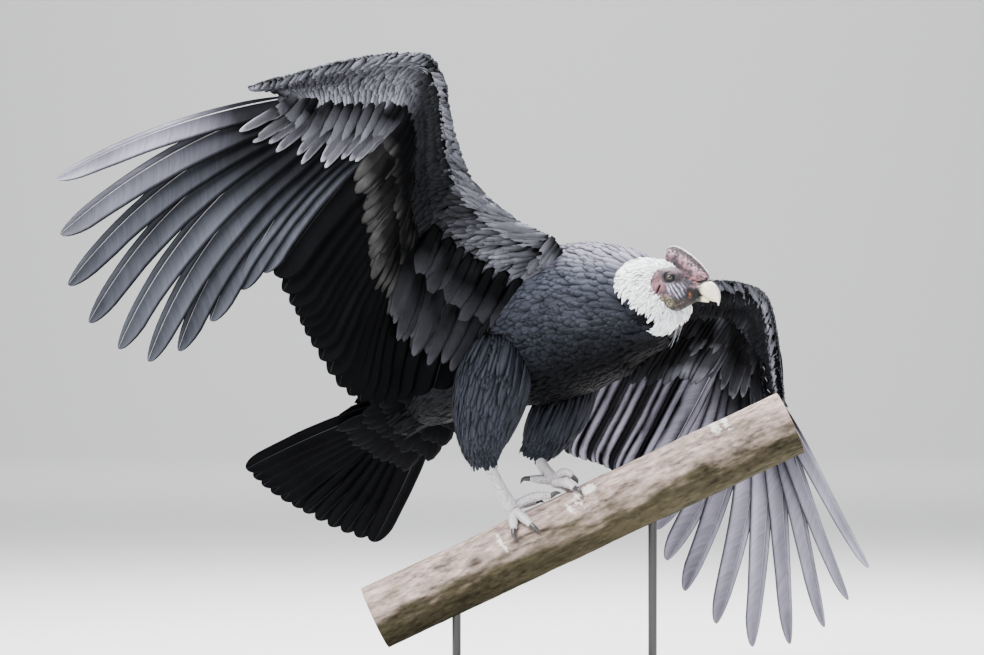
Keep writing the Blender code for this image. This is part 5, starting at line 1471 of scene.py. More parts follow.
def loop_tube(points, radius, sides=8):
    """A closed tube round a closed line of points: quads only."""
    points = np.asarray(points, float)
    way = unit(np.roll(points, -1, 0) - np.roll(points, 1, 0))
    out = across(points - points.mean(0), way)
    up = np.cross(way, out)
    rings = rings_round(points, radius, out, up, sides)
    index = np.arange(len(points) * sides).reshape(len(points), sides)
    ahead, turned = np.roll(index, -1, 0), np.roll(index, -1, 1)
    quads = np.stack([index, turned, np.roll(ahead, -1, 1), ahead], -1).reshape(-1, 4)
    quads, tris = facing_out(rings.reshape(-1, 3), quads, np.zeros((0, 3), int))
    return rings.reshape(-1, 3), quads, tris


def lids():
    """The soft rims of both eyes' lids, which lie on the eyeballs along the almond opening."""
    shells = []
    turn = np.linspace(0, 2 * math.pi, 72, endpoint=False)
    for side in (1, -1):
        look, ahead, up = gaze(side)
        u = LID_HALF_LENGTH * np.cos(turn)
        w = LID_HALF_HEIGHT * np.sin(turn) * (1 - 0.35 * np.cos(turn) ** 2)
        depth = np.sqrt(np.clip((EYE_RADIUS + 0.0004) ** 2 - u**2 - w**2, 0, None))
        line = eye_centre(side) + u[:, None] * ahead + w[:, None] * up + depth[:, None] * look
        shells.append(loop_tube(head_place(line), 0.00085 + 0.0003 * np.clip(np.sin(turn), 0, 1)))
    return joined(shells)


def eyeballs():
    """Both eyeballs as unit balls scaled to their radius, with the angle from the gaze in the vane attribute."""
    shells, looks = [], []
    polar = np.linspace(0, math.pi, 34)[1:-1]
    turn = np.linspace(0, 2 * math.pi, 48, endpoint=False)
    for side in (1, -1):
        look, ahead, up = gaze(side)
        cos, sin = np.cos(polar)[:, None, None], np.sin(polar)[:, None, None]
        round_it = np.cos(turn)[None, :, None] * ahead + np.sin(turn)[None, :, None] * up
        bulge = 1 + 0.035 * np.clip(1 - polar / 0.7, 0, 1)[:, None, None]
        rings = eye_centre(side) + EYE_RADIUS * bulge * (cos * look + sin * round_it)
        shell = shell_of(head_place(rings))
        shells.append(shell)
        angle = np.concatenate([np.repeat(polar, len(turn)), [0.0, math.pi]])
        swirl = np.concatenate([np.tile(turn, len(polar)), [0.0, 0.0]])
        looks.append(np.stack([angle, swirl, 0 * angle], -1))
    return joined(shells), np.concatenate(looks)


def comb_form(inks):
    """The comb: upright sections along the crown, thick at the foot, with a rounded rim, wrinkles that run with
    its edge, and grainy bumps."""
    rings = head_rings(COMB, 120, 96, 0.9)
    out = ring_normals(rings)
    x, y, z = rings[..., 0], rings[..., 1], rings[..., 2]
    edge = np.linspace(0, 2 * math.pi, 96, endpoint=False)[None, :]
    high = np.broadcast_to(np.sin(edge), x.shape)
    along = np.broadcast_to(np.linspace(0, 1, 120)[:, None], x.shape)
    bumps = layered(rings, 0.006, 31, 3)
    grain = layered(rings, 0.0022, 32, 2)
    wrinkle = np.sin(high * 16 + 3 * noise(rings, 0.012, 33)) * (1 - ease(high, 0.7, 0.95))
    swell = 0.0010 * bumps + 0.00035 * grain + 0.00045 * wrinkle
    swell = swell - 0.0013 * ridge(x, z, NOSTRIL_LINE, 0.0016, 0.1)
    rings = rings + out * swell[..., None]
    middle = np.exp(-(((high - 0.15) / 0.45) ** 2)) * ease(along, 0.25, 0.45)
    base = mix(np.clip(0.25 + 0.8 * bumps + 0.35 * middle + 0.3 * grain, 0, 1), inks.comb, inks.comb_pink)
    light = ease(high, -0.2, 0.3) * (1 - ease(high, 0.5, 0.8)) * np.clip(grain, 0, 1) * 0.8
    base = mix(light, base, inks.comb_light)
    band = ease(high, 0.45, 0.72) * (1 - ease(high, 0.90, 0.96)) * ease(along, 0.15, 0.35)
    base = mix(band * np.clip(0.75 + 0.5 * bumps, 0, 1), base, np.array(inks.comb) * 0.9)
    shade = (1 - ease(high, -0.55, 0.25)) * (1 - ease(along, 0.30, 0.75)) * ease(along, 0.06, 0.16)
    base = mix(shade * 0.85, base, np.array(inks.comb) * 0.6)
    # A painted highlight along the comb's top edge
    rim = ease(high, 0.92, 0.99)
    base = mix(rim * 0.9, base, inks.comb_rim_highlight)
    base = mix((1 - ease(along, 0.0, 0.14)) * 0.55, base, inks.comb_light)
    base = mix((1 - ease(high, -0.9, -0.55)) * 0.8, base, inks.lores)
    red = ridge(x, z, ((0.030, 0.021), (0.040, 0.0185), (0.050, 0.0180)), 0.0022, 0.2)
    base = mix(red * 0.6, base, inks.gape)
    # Painted shade in the nostril
    base = mix(ridge(x, z, NOSTRIL_LINE, 0.0014, 0.1), base, (0.015, 0.008, 0.008))
    return shell_of(head_place(rings)), capped_tint(base)


NOSTRIL_LINE = ((0.0270, 0.0225), (0.0300, 0.0235), (0.0330, 0.0230))


def bill_form(sections, upper, inks):
    """One half of the bill: sections narrowed towards its edges, fine lengthwise ridges, darker at its root."""
    rings = head_rings(sections, 110, 72, 0.92)
    out = ring_normals(rings)
    grain = noise(rings * np.array((0.25, 1.0, 1.0)), 0.0022, 41) + 0.5 * noise(rings, 0.006, 42)
    x, z = rings[..., 0], rings[..., 2]
    rings = rings + out * (0.00018 * grain)[..., None]
    root = 1 - ease(x + 0.0015 * grain, 0.056, 0.0665)
    base = mix(0.5 + 0.4 * grain, inks.horn, np.array(inks.horn) * 0.86)
    base = mix(root * 0.95, base, inks.lores)
    if upper:
        base = mix(ease(x + z * 0.3, 0.082, 0.096) * 0.7, base, inks.horn_tip)
    else:
        base = mix((1 - ease(x, 0.061, 0.068)) * 0.92, base, inks.speck)
    return shell_of(head_place(rings)), capped_tint(base)


def branch_frame():
    """The branch's way uphill, its top, and its side towards the viewer."""
    way = unit(BRANCH_HIGH - BRANCH_LOW)
    side = np.array((0.0, -1.0, 0.0))
    top = np.cross(side, way)
    return way, top if top[2] > 0 else -top, side


def on_branch(places):
    """Places given as distance uphill, degrees round from the top, and height above the bark."""
    distance, degrees, height = np.asarray(places, float).T
    way, top, side = branch_frame()
    turn = np.radians(degrees)[:, None]
    out = np.cos(turn) * top + np.sin(turn) * side
    return BRANCH_LOW + distance[:, None] * way + out * (BRANCH_RADIUS + height)[:, None]


def foot_forms(shank, toes):
    """A foot's shank and toes as tubes. Broad scutes ring the toes' tops, small round scales cover the rest,
    and pads swell under each joint."""
    shells, tints = [], []
    line = through(shank, 60)
    share = np.linspace(0, 1, 60)
    radius = SHANK_RADIUS * np.interp(share, (0, 0.33, 0.67, 1), (1.05, 0.95, 1.0, 1.25))
    parts = [(line, radius, 0.94, 0.0042)]
    for name, places in toes.items():
        line = through(on_branch(places), 70)
        share = np.linspace(0, 1, 70)
        size = TOE_RADIUS * (0.95 if name == "hind" else 1.0)
        radius = size * np.interp(share, (0, 0.25, 0.5, 0.75, 1), (1.15, 0.97, 1.08, 0.95, 0.72))
        radius = radius * (1 + 0.05 * np.sin(share * 14))
        radius = radius * np.sqrt(np.clip(1 - np.clip((share - 0.93) / 0.08, 0, 1) ** 2, 0.05, 1))
        parts.append((line, radius, 0.92, 0.0036))
    for line, radius, flat, pitch in parts:
        rings = tube_rings(line, radius, np.array((0.3, 0.95, 0.0)), 48, flat)
        middle = line[:, None]
        out = unit(rings - middle)
        length = np.concatenate([[0], np.cumsum(np.linalg.norm(np.diff(line, axis=0), axis=1))])[:, None]
        above = ease(out[..., 2], 0.0, 0.5)
        wave = np.abs(np.sin(math.pi * (length / pitch + 0.15 * noise(rings, 0.01, 51)))) ** 0.5
        scale = cell_bumps(rings, 0.0030)
        swell = 0.0010 * wave * above + 0.0006 * scale * (1 - above)
        rings = rings + out * swell[..., None]
        shade = above * wave + (1 - above) * scale
        shells.append(shell_of(rings))
        tints.append(np.concatenate([shade.ravel(), [0.7, 0.7]]))
    return shells, tints


def cell_bumps(points, spacing):
    """Rounded scales: one minus the distance to the nearest jittered lattice point, in spacings."""
    scaled = points / spacing
    cell = np.floor(scaled).astype(np.int64)
    best = np.full(points.shape[:-1], 9.0)
    for pick in np.ndindex(3, 3, 3):
        near = cell + np.array(pick) - 1
        key = (near * HASH).sum(-1)
        jitter = np.stack([((key >> s) ^ (key * 31 >> (s + 3))) & 255 for s in (2, 7, 11)], -1) / 255.0
        best = np.minimum(best, np.linalg.norm(near + 0.2 + 0.6 * jitter - scaled, axis=-1))
    return np.clip(1.1 - best, 0, 1)


def claw_forms(claws):
    """Curved horn: a tube whose radius falls to a point, a little flattened below."""
    shells = []
    for places in claws.values():
        line = through(on_branch(places), 28)
        share = np.linspace(0, 1, 28)
        radius = CLAW_RADIUS * np.interp(share, (0, 0.33, 0.67, 0.9, 1), (1.0, 0.92, 0.60, 0.24, 0.05))
        shells.append(shell_of(tube_rings(line, radius, np.array((0.0, 1.0, 0.0)), 24, 1.15)))
    return shells


def bark_form(settings):
    """The branch: rings whose radius swells and ripples with layered noise drawn out along it, with long
    cracks, a knot, droppings below the feet, and sawn ends with growth rings."""
    way, top, side = branch_frame()
    full = np.linalg.norm(BRANCH_HIGH - BRANCH_LOW)
    count, sides = 380, 230
    share = np.linspace(0, 1, count)[:, None]
    turn = np.linspace(0, 2 * math.pi, sides, endpoint=False)[None, :]
    base = BRANCH_RADIUS * (1 - 0.012 * np.sin(share * 9) ** 2)
    base = base * (1 - 0.010 * (1 + np.cos(3 * turn + 5 * share)) / 2)
    out = np.cos(turn)[..., None] * top + np.sin(turn)[..., None] * side
    along = share * full + 0 * turn
    girth = [wave(turn) * BRANCH_RADIUS + 0 * along for wave in (np.cos, np.sin)]
    flat = np.stack([along * 0.22, *girth], -1)
    grain = layered(flat, 0.011, 61, 4)
    lumps = layered(flat, 0.05, 62, 2)
    crack_and_painted_shade = np.clip(1 - np.abs(layered(flat * np.array((0.5, 1, 1)), 0.026, 63, 2)) / 0.055, 0, 1)
    knot_gap = np.hypot((along - KNOT[0]) / 1.25, (turn - math.radians(KNOT[1])) * BRANCH_RADIUS)
    knot = np.exp(-((knot_gap / 0.013) ** 2))
    lip = np.exp(-(((knot_gap - 0.017) / 0.006) ** 2))
    swell = 0.0011 * grain + 0.0009 * lumps - 0.0010 * crack_and_painted_shade ** 2 + 0.0042 * lip - 0.0020 * knot
    swell = swell + 0.0007 * np.sin(knot_gap * 900) * np.exp(-((knot_gap / 0.03) ** 2))
    radius = base + np.minimum(swell, 0.004)
    centre = BRANCH_LOW + (share * full)[..., None] * way
    rings = centre + out * radius[..., None]
    ends = []
    for k, end in ((0, -1), (-1, 1)):
        inner = []
        for part in CUT_RINGS:
            bevel = -0.0012 if part > 0.96 else -0.0006 * (0.5 + 0.5 * math.sin(part * 40))
            middle = rings[k].mean(0)
            inner.append(middle + (rings[k] - middle) * part - way * end * bevel * 0.5)
        ends.append(np.array(inner))
    whole = np.concatenate([ends[0][::-1], rings, ends[1]])
    up = out @ np.array((0.0, 0.0, 1.0))
    pale, dark = np.array(settings.bark_lit_top), np.array(settings.bark_low)
    patch = layered(flat, 0.020, 66, 3)
    fine = layered(flat * np.array((1.8, 1, 1)), 0.0045, 65, 2)
    # Painted light from above: the top is painted lit and pale, the underside in shade and dark
    tint = mix(ease(up + 0.25 * patch + 0.20 * grain, -0.30, 0.55), dark, pale)
    tint = tint * np.clip(1 + 0.35 * grain + 0.25 * lumps + 0.45 * fine, 0.25, 1.7)[..., None]
    tint = mix(np.clip(patch * 1.6 - 0.5, 0, 1) * 0.5, tint, dark * 1.6)
    # Painted shade in the cracks
    tint = mix(crack_and_painted_shade * 0.35, tint, dark * 0.5)
    tint = mix(knot * 0.8, tint, dark * 0.35)
    tint = mix(lip * 0.35, tint, pale * 1.05)
    wash = droppings(along, turn)
    tint = mix(wash, tint, settings.lime)
    cut = np.array(settings.sawn)
    ring_tint = [cut * (0.82 + 0.25 * math.sin(part * 46)) for part in CUT_RINGS]
    ring_tint = np.repeat(np.array(ring_tint)[:, None], sides, 1)
    tint = np.concatenate([ring_tint[::-1], tint, ring_tint])
    points, quads, tris = shell_of(whole)
    return (points, quads, tris), np.concatenate([tint.reshape(-1, 3), [cut], [cut]])


def droppings(along, turn):
    """Where the white droppings lie: splashes and runs round a few spots, their outlines broken up by noise."""
    degrees = np.degrees((turn + math.pi) % (2 * math.pi) - math.pi) + 0 * along
    down = np.radians(degrees) * BRANCH_RADIUS
    places = np.stack([along, down, 0 * along], -1)
    bent = along + 0.006 * noise(places, 0.011, 72)
    low = down + 0.006 * noise(places, 0.012, 73)
    wash = np.zeros_like(along)
    # Each spot's distance uphill, degrees from the top, and reach round and along the branch
    spots = ((0.478, 26, 0.034, 0.009), (0.505, 34, 0.016, 0.013), (0.455, 58, 0.012, 0.006),
             (0.300, 60, 0.018, 0.005), (0.790, 12, 0.032, 0.008), (0.815, 18, 0.036, 0.006))
    for at, start, reach, width in spots:
        gap = np.hypot((bent - at) / width, (low - math.radians(start) * BRANCH_RADIUS) / reach)
        wash = np.maximum(wash, 1 - 0.5 * gap)
    return ease(wash + 0.35 * layered(places, 0.004, 71), 0.42, 0.62) * 0.9


def slab_form(size, corner, bevel=0.004, steps=12):
    """A slab on the floor: rounded rectangles up its side, in along a quarter round, and across its top."""
    rings = []
    rounds = [(0.0015, 0.0), (0.0, 0.0015), (0.0, size[2] - bevel)]
    rounds += [(bevel * (1 - math.cos(a)), size[2] - bevel + bevel * math.sin(a))
               for a in np.linspace(0.2, math.pi / 2, 6)]
    for inset, height in rounds:
        ring = []
        for quarter, (sx, sy) in enumerate(((1, 1), (-1, 1), (-1, -1), (1, -1))):
            angle = math.pi / 2 * (quarter + np.linspace(0, 1, steps + 1))
            x = sx * (size[0] / 2 - corner) + (corner - inset) * np.cos(angle)
            y = sy * (size[1] / 2 - corner) + (corner - inset) * np.sin(angle)
            ring.append(np.stack([x, y, np.full(steps + 1, height)], -1))
        rings.append(np.concatenate(ring))
    return shell_of(np.array(rings))


def turned_form(x, profile, sides=48):
    """A form turned about an upright line at x, from heights and radii."""
    turn = np.linspace(0, 2 * math.pi, sides, endpoint=False)
    rings = [np.stack([x + r * np.cos(turn), r * np.sin(turn), np.full(sides, z)], -1) for z, r in profile]
    return shell_of(np.array(rings))


def body_shell(name):
    """The flesh under the plumage, as closed forms that the skin joins: body, neck, thighs, wings and tail."""
    shells = [LOFTS["torso"].shell(-0.012), LOFTS["neck"].shell(-0.010)]
    shells += [LOFTS["thigh_right"].shell(-0.012), LOFTS["thigh_left"].shell(-0.012)]
    for side, shoulder in (("right", SHOULDER_RIGHT), ("left", SHOULDER_LEFT)):
        shells.append(wing_flesh(side, shoulder))
    left, down = tail_frame()
    centres = np.array([TAIL_PLACE - TAIL_WAY * 0.06, TAIL_PLACE, TAIL_PLACE + TAIL_WAY * 0.045])
    rump = Loft(centres, (0.026, 0.030, 0.032), (0.020, 0.015, 0.006), left)
    shells.append(rump.shell(0.0, 48, 24))
    return joined(shells)


def wing_flesh(side, shoulder):
    """A wing's arm and hand under their coverts: rings over the chord, thinner than the feathered wing by the
    coat's depth, carried on into the body."""
    sheet = WINGS[side]
    chords = np.array((0.03, 0.08, 0.16, 0.3, 0.45, 0.6, 0.75, 0.9, 1.04))
    rings = []
    for number in np.linspace(-0.3, 31, 70):
        where = np.full(len(chords), number)
        upper = sheet.skin(where, chords, 1, 0.0)[0]
        lower = sheet.skin(where, chords, -1, 0.0)[0]
        middle = (upper + lower) / 2
        upper, lower = middle + 0.62 * (upper - middle), middle + 0.62 * (lower - middle)
        rings.append(np.concatenate([upper, lower[::-1]]))
    up = sheet.at(31.0, 0.6)[2]
    lead, rear = np.array(shoulder)
    line = lead + (rear - lead) * chords[:, None]
    thick = 0.016 * fullness(chords, 0.3)[:, None]
    rings.append(np.concatenate([line + up * thick, (line - up * thick)[::-1]]))
    return shell_of(np.array(rings))


def remeshed(shell, voxel, smooth):
    """Points and quads of one closed surface round overlapping forms, relaxed."""
    points, quads, tris = shell
    mesh = bpy.data.meshes.new("flesh")
    faces = [tuple(face) for face in quads.tolist()] + [tuple(face) for face in tris.tolist()]
    mesh.from_pydata(points.tolist(), [], faces)
    obj = bpy.data.objects.new("flesh", mesh)
    bpy.context.scene.collection.objects.link(obj)
    join = obj.modifiers.new("join", "REMESH")
    join.mode = "VOXEL"
    join.voxel_size = voxel
    join.adaptivity = 0.0
    relax = obj.modifiers.new("relax", "SMOOTH")
    relax.factor = 0.5
    relax.iterations = smooth
    bpy.context.view_layer.update()
    made = obj.evaluated_get(bpy.context.evaluated_depsgraph_get()).to_mesh()
    spots = np.empty(len(made.vertices) * 3, np.float32)
    made.vertices.foreach_get("co", spots)
    corners = np.empty(len(made.loops), np.int32)
    made.loops.foreach_get("vertex_index", corners)
    sizes = np.empty(len(made.polygons), np.int32)
    made.polygons.foreach_get("loop_total", sizes)
    bpy.data.objects.remove(obj, do_unlink=True)
    bpy.data.meshes.remove(mesh)
    starts = np.concatenate([[0], np.cumsum(sizes)[:-1]])
    fours, threes = starts[sizes == 4], starts[sizes == 3]
    return (spots.reshape(-1, 3).astype(float), corners[fours[:, None] + np.arange(4)],
            corners[threes[:, None] + np.arange(3)].reshape(-1, 3))


def feather_finish(name, gloss, **fixed):
    """A vane's material: its own tint with fine barbs that slant out from the shaft, as colour and bump."""
    finish = Finish(name, 0.5, specular_ior_level=gloss, sheen_roughness=0.4, **fixed)
    along, out, own = finish.vane()
    slant = along - out.size() * 1.1
    streak = finish.speckle(1.0, 3.0, finish.vector(slant * 420.0, out * 38.0, own * 60.0), 0.6)
    patch = finish.speckle(1.0, 2.0, finish.vector(slant * 90.0, out * 12.0, own * 60.0), 0.5)
    finish.toned((streak - 0.5) * 0.75 + (patch - 0.5) * 0.55 + own * 0.35 + 0.82)
    finish.feed("Roughness", 0.44 + streak * 0.25)
    finish.bump(streak, 0.35, 0.0006)
    return finish


def skin_finish(name, roughness, bump, scale, **fixed):
    """Bare skin, horn or bark: its own tint broken up by two noises, with a fine bump."""
    finish = Finish(name, roughness, **fixed)
    fine = finish.speckle(scale, 5.0)
    broad = finish.speckle(scale * 0.12, 3.0)
    finish.toned((fine - 0.5) * 0.5 + (broad - 0.5) * 0.35 + 1.0)
    finish.bump(fine, bump, 0.001)
    return finish


def colour(name, value, text):
    """A colour setting."""
    return FloatVectorProperty(name=name, description=text, subtype="COLOR", size=3, min=0, max=1,
                               default=value)


class CondorPlumage(bpy.types.PropertyGroup):
    """Colours of the coat."""

    black: colour("Black", (0.0008, 0.0009, 0.0012), "Ground colour of the body's feathers")
    # Painted sheen: a bluish highlight carried as the colour of the feathers' tips
    painted_sheen: colour("Sheen", (0.046, 0.051, 0.068), "Bluish tips of the feathers on the back")
    grey: colour("Grey", (0.2, 0.202, 0.24), "Rounded coverts under the wing")
    brown: colour("Brown grey", (0.064, 0.063, 0.062), "Tips of the greater coverts under the near wing")
    dusk: colour("Dusk", (0.0045, 0.0048, 0.0062), "Dark bases and stripes of the flight feathers")
    # Painted shade: the near wing's primaries, in shade, take this dark copy of the far wing's lit lilac
    silver_with_painted_light: colour("Silver", (0.048, 0.053, 0.066), "Under side of the near wing's primaries")
    # Painted light: the lit far wing's undersides take this light lilac, which also paints the highlight on top
    # of the back
    painted_lit_lilac: colour("Lilac", (0.46, 0.44, 0.56), "Under side of the far wing's feathers")
    pale: colour("Pale edge", (0.5, 0.5, 0.58), "Rims of the feathers and wisps below the ruff")
    shaft: colour("Shaft", (0.70, 0.68, 0.72), "Shafts of the flight feathers")
    white: colour("White panel", (0.76, 0.76, 0.77), "Outer webs of the secondaries seen from above")
    white_down: colour("White down", (0.96, 0.96, 0.96), "The ruff's down")
    down_shade: colour("Down shade", (0.82, 0.81, 0.82), "Roots of the ruff's down")


class CondorHead(bpy.types.PropertyGroup):
    """Colours of the bare head, the comb and the bill."""

    face: colour("Face", (0.2, 0.115, 0.135), "Pink skin")
    ash: colour("Ash", (0.036, 0.034, 0.042), "Grey skin between the pink")
    rose: colour("Rose", (0.34, 0.15, 0.17), "Warty skin behind the cheek")
    fold: colour("Folds", (0.5, 0.49, 0.64), "Pale bluish folds of the cheek")
    crown: colour("Crown", (0.36, 0.3, 0.35), "Skin beside the comb")
    lores: colour("Lores", (0.007, 0.008, 0.009), "Dark skin round the eye and the bill's root")
    jowl: colour("Jowl", (0.07, 0.062, 0.032), "Greenish brown lower cheek")
    # Painted highlights on the lumps of the lower cheek
    jowl_highlight: colour("Jowl light", (0.42, 0.39, 0.27), "Pale grains of the lower cheek")
    speck: colour("Specks", (0.008, 0.0085, 0.005), "Dark stipple of the jowl and throat")
    gape: colour("Gape", (0.27, 0.095, 0.045), "Orange spot by the mouth's corner")
    comb: colour("Comb", (0.045, 0.037, 0.042), "Grey-brown of the comb")
    comb_pink: colour("Comb pink", (0.28, 0.14, 0.165), "Pink mottling of the comb")
    comb_light: colour("Comb light", (0.72, 0.56, 0.62), "Highlights of the comb")
    # A painted highlight along the comb's top edge
    comb_rim_highlight: colour("Comb rim", (0.8, 0.77, 0.75), "Pale rim of the comb")
    horn: colour("Horn", (0.80, 0.74, 0.54), "Ivory of the bill")
    horn_tip: colour("Horn tip", (0.90, 0.88, 0.80), "Whiter tip of the bill")
    iris: colour("Iris", (0.08, 0.066, 0.033), "Olive brown ring of the eye")


class CondorPerch(bpy.types.PropertyGroup):
    """Colours of the feet, the branch and the stand."""

    foot: colour("Foot", (0.66, 0.63, 0.66), "Off-white scales")
    crease: colour("Foot crease", (0.26, 0.24, 0.27), "Lilac-grey between the scales")
    claw: colour("Claw", (0.045, 0.040, 0.040), "Dark horn")
    # Painted light: the branch's top is coloured as lit from above and its under side as in shade
    bark_lit_top: colour("Bark, upper", (0.42, 0.32, 0.28), "Pinkish tan of the branch's top")
    bark_low: colour("Bark, lower", (0.05, 0.042, 0.024), "Olive brown of its under side")
    lime: colour("Droppings", (0.80, 0.79, 0.76), "White droppings")
    sawn: colour("Sawn wood", (0.46, 0.33, 0.20), "The cut ends")
    stand: colour("Stand", (0.030, 0.028, 0.027), "Base and rods")


def power(name, value, text):
    """A light's strength."""
    return FloatProperty(name=name, description=text, default=value, min=0, unit="POWER")


class CondorStage(bpy.types.PropertyGroup):
    """The floor, the lights and the camera."""

    floor: colour("Floor", (0.74, 0.74, 0.74), "Floor and backdrop")
    key: power("Key light", 560, "Strength of the main light")
    back: power("Back light", 620, "Strength of the light behind")
    fill: power("Fill light", 70, "Strength of the light in front")
    wash: power("Backdrop light", 900, "Strength on the backdrop")
    world: FloatProperty(name="Sky", description="Strength of the even light all round", default=0.40, min=0)
    size: FloatProperty(name="Light size", description="Width of the main light", default=2.6, min=0.1,
                        unit="LENGTH")


class CONDOR_OT_stage(bpy.types.Operator):
    """Floor, backdrop, lights and camera"""

    bl_idname = "condor.stage"
    bl_label = "Stage"

    def execute(self, context):
        settings = context.scene.condor_stage
        finish = Finish("floor", 0.75)
        finish.shader.inputs["Base Color"].default_value = (*settings.floor, 1)
        x = np.linspace(-22, 22, 9)
        arc = np.linspace(0, math.pi / 2, 14)
        line = [(-22, 0.0), (-8, 0.0), (0, 0.0), (7, 0.0)]
        line += [(13.0 + 4.0 * math.sin(a), 4.0 * (1 - math.cos(a))) for a in arc]
        line += [(17.0, 8.0), (17.0, 16.0)]
        line = np.array(line)
        points = np.stack([np.repeat(x[None], len(line), 0), np.repeat(line[:, :1], len(x), 1),
                           np.repeat(line[:, 1:], len(x), 1)], -1)
        quads = grid_quads(np.arange(len(line) * len(x)).reshape(len(line), len(x)))[:, ::-1]
        floor = mesh_piece("floor", (points.reshape(-1, 3), quads, np.zeros((0, 3), int)), finish)
        middle = (0.0, 0.0, 0.75)
        for name, place, aim, power, size in (("key", (-1.7, -1.6, 3.6), middle, settings.key, settings.size),
                                         ("back", (0.7, 1.5, 3.9), middle, settings.back, 2.6),
                                              ("fill", (0.8, -5.2, 1.7), middle, settings.fill, 4.0),
                                              ("wash", (0.0, 9.0, 7.5), (0.0, 16.0, 2.5), settings.wash, 7.0)):
            lamp = bpy.data.lights.new(name, "AREA")
            lamp.energy = power
            lamp.size = size
            obj = bpy.data.objects.new(name, lamp)
            obj.location = place
            way = np.array(aim) - np.array(place)
            tilt = math.acos(-way[2] / np.linalg.norm(way))
            obj.rotation_euler = (tilt, 0, math.atan2(way[1], way[0]) - math.pi / 2)
            context.scene.collection.objects.link(obj)
        world = bpy.data.worlds.new("studio")
        world.use_nodes = True
        world.node_tree.nodes["Background"].inputs["Color"].default_value = (0.93, 0.96, 1.0, 1)
        world.node_tree.nodes["Background"].inputs["Strength"].default_value = settings.world
        context.scene.world = world
        lens = bpy.data.cameras.new("camera")
        lens.sensor_width = SENSOR_WIDTH
        lens.lens = FOCAL_PIXELS / PICTURE_WIDTH * SENSOR_WIDTH
        lens.clip_start, lens.clip_end = 0.1, 60
        view = bpy.data.objects.new("camera", lens)
        view.location = CAMERA_PLACE
        view.rotation_euler = (math.pi / 2, 0, 0)
        context.scene.collection.objects.link(view)
        context.scene.camera = view
        return {"FINISHED"}


class CONDOR_OT_stand(bpy.types.Operator):
    """The display stand's base and its two rods with their collars"""

    bl_idname = "condor.stand"
    bl_label = "Stand"

    def execute(self, context):
        settings = context.scene.condor_perch
        wood = Finish("stained wood", 0.42, coat_weight=0.25, coat_roughness=0.25)
        grain = wood.speckle(1.0, 6.0, wood.places((2.0, 46.0, 46.0)))
        wood.feed("Base Color", wood.blend(grain, tuple(settings.stand), tuple(2.3 * c for c in settings.stand)))
        wood.bump(grain, 0.12, 0.0006)
        base = mesh_piece("base", slab_form(BASE_SIZE, BASE_CORNER), wood)
        place_piece(base, "stand", "stand_base")
        paint = Finish("painted rod", 0.38, coat_weight=0.3)
        paint.shader.inputs["Base Color"].default_value = (*settings.stand, 1)
        way = branch_frame()[0]
        shells = []
        for x in ROD_PLACES.values():
            high = BRANCH_LOW[2] + (x - BRANCH_LOW[0]) * way[2] / way[0] - 0.5 * BRANCH_RADIUS
            low = BASE_SIZE[2]
            collar = ((0.0002, 0.014), (0.004, 0.0145), (0.006, 0.0135), (0.0068, ROD_RADIUS))
            profile = [(low + rise, radius) for rise, radius in collar]
            profile += [(z, ROD_RADIUS) for z in np.linspace(low + 0.02, high, 16)]
            shells.append(turned_form(x, profile))
        rods = mesh_piece("rods", joined(shells), paint)
        place_piece(rods, "rod", "stand_rod_low", "stand_rod_high")
        return {"FINISHED"}


class CONDOR_OT_perch(bpy.types.Operator):
    """The cut length of branch"""

    bl_idname = "condor.perch"
    bl_label = "Perch"

    def execute(self, context):
        settings = context.scene.condor_perch
        shell, tint = bark_form(settings)
        finish = skin_finish("weathered bark", 0.86, 0.9, 200.0, specular_ior_level=0.1)
        place_piece(mesh_piece("perch", shell, finish, tint), "bark", "perch_branch")
        return {"FINISHED"}


class CONDOR_OT_skin(bpy.types.Operator):
    """The skin under the coat, with the bare head and the rims of its lids"""

    bl_idname = "condor.skin"
    bl_label = "Skin"

    def execute(self, context):
        head, plumage = context.scene.condor_head, context.scene.condor_plumage
        body = remeshed(body_shell("body"), 0.0055, 8)
        neck = LOFTS["neck"]
        white = ease((body[0] - RUFF_PLACE) @ RUFF_AXIS, -0.024, -0.016) * neck.holds(body[0], -0.004)
        body_tint = mix(white, tuple(plumage.black), tuple(plumage.down_shade))
        face, face_tint = head_skin(head)
        rims = lids()
        rim_tint = np.tile(np.array(head.lores) * 1.5, (len(rims[0]), 1))
        finish = skin_finish("bare skin", 0.46, 0.35, 900.0, subsurface_weight=0.06, subsurface_scale=0.002,
                             specular_ior_level=0.16)
        tint = np.concatenate([body_tint, face_tint, rim_tint])
        piece = mesh_piece("skin", joined([body, face, rims]), finish, tint)
        place_piece(piece, "skin", "torso", "neck", "head", "thigh_right", "thigh_left")
        return {"FINISHED"}


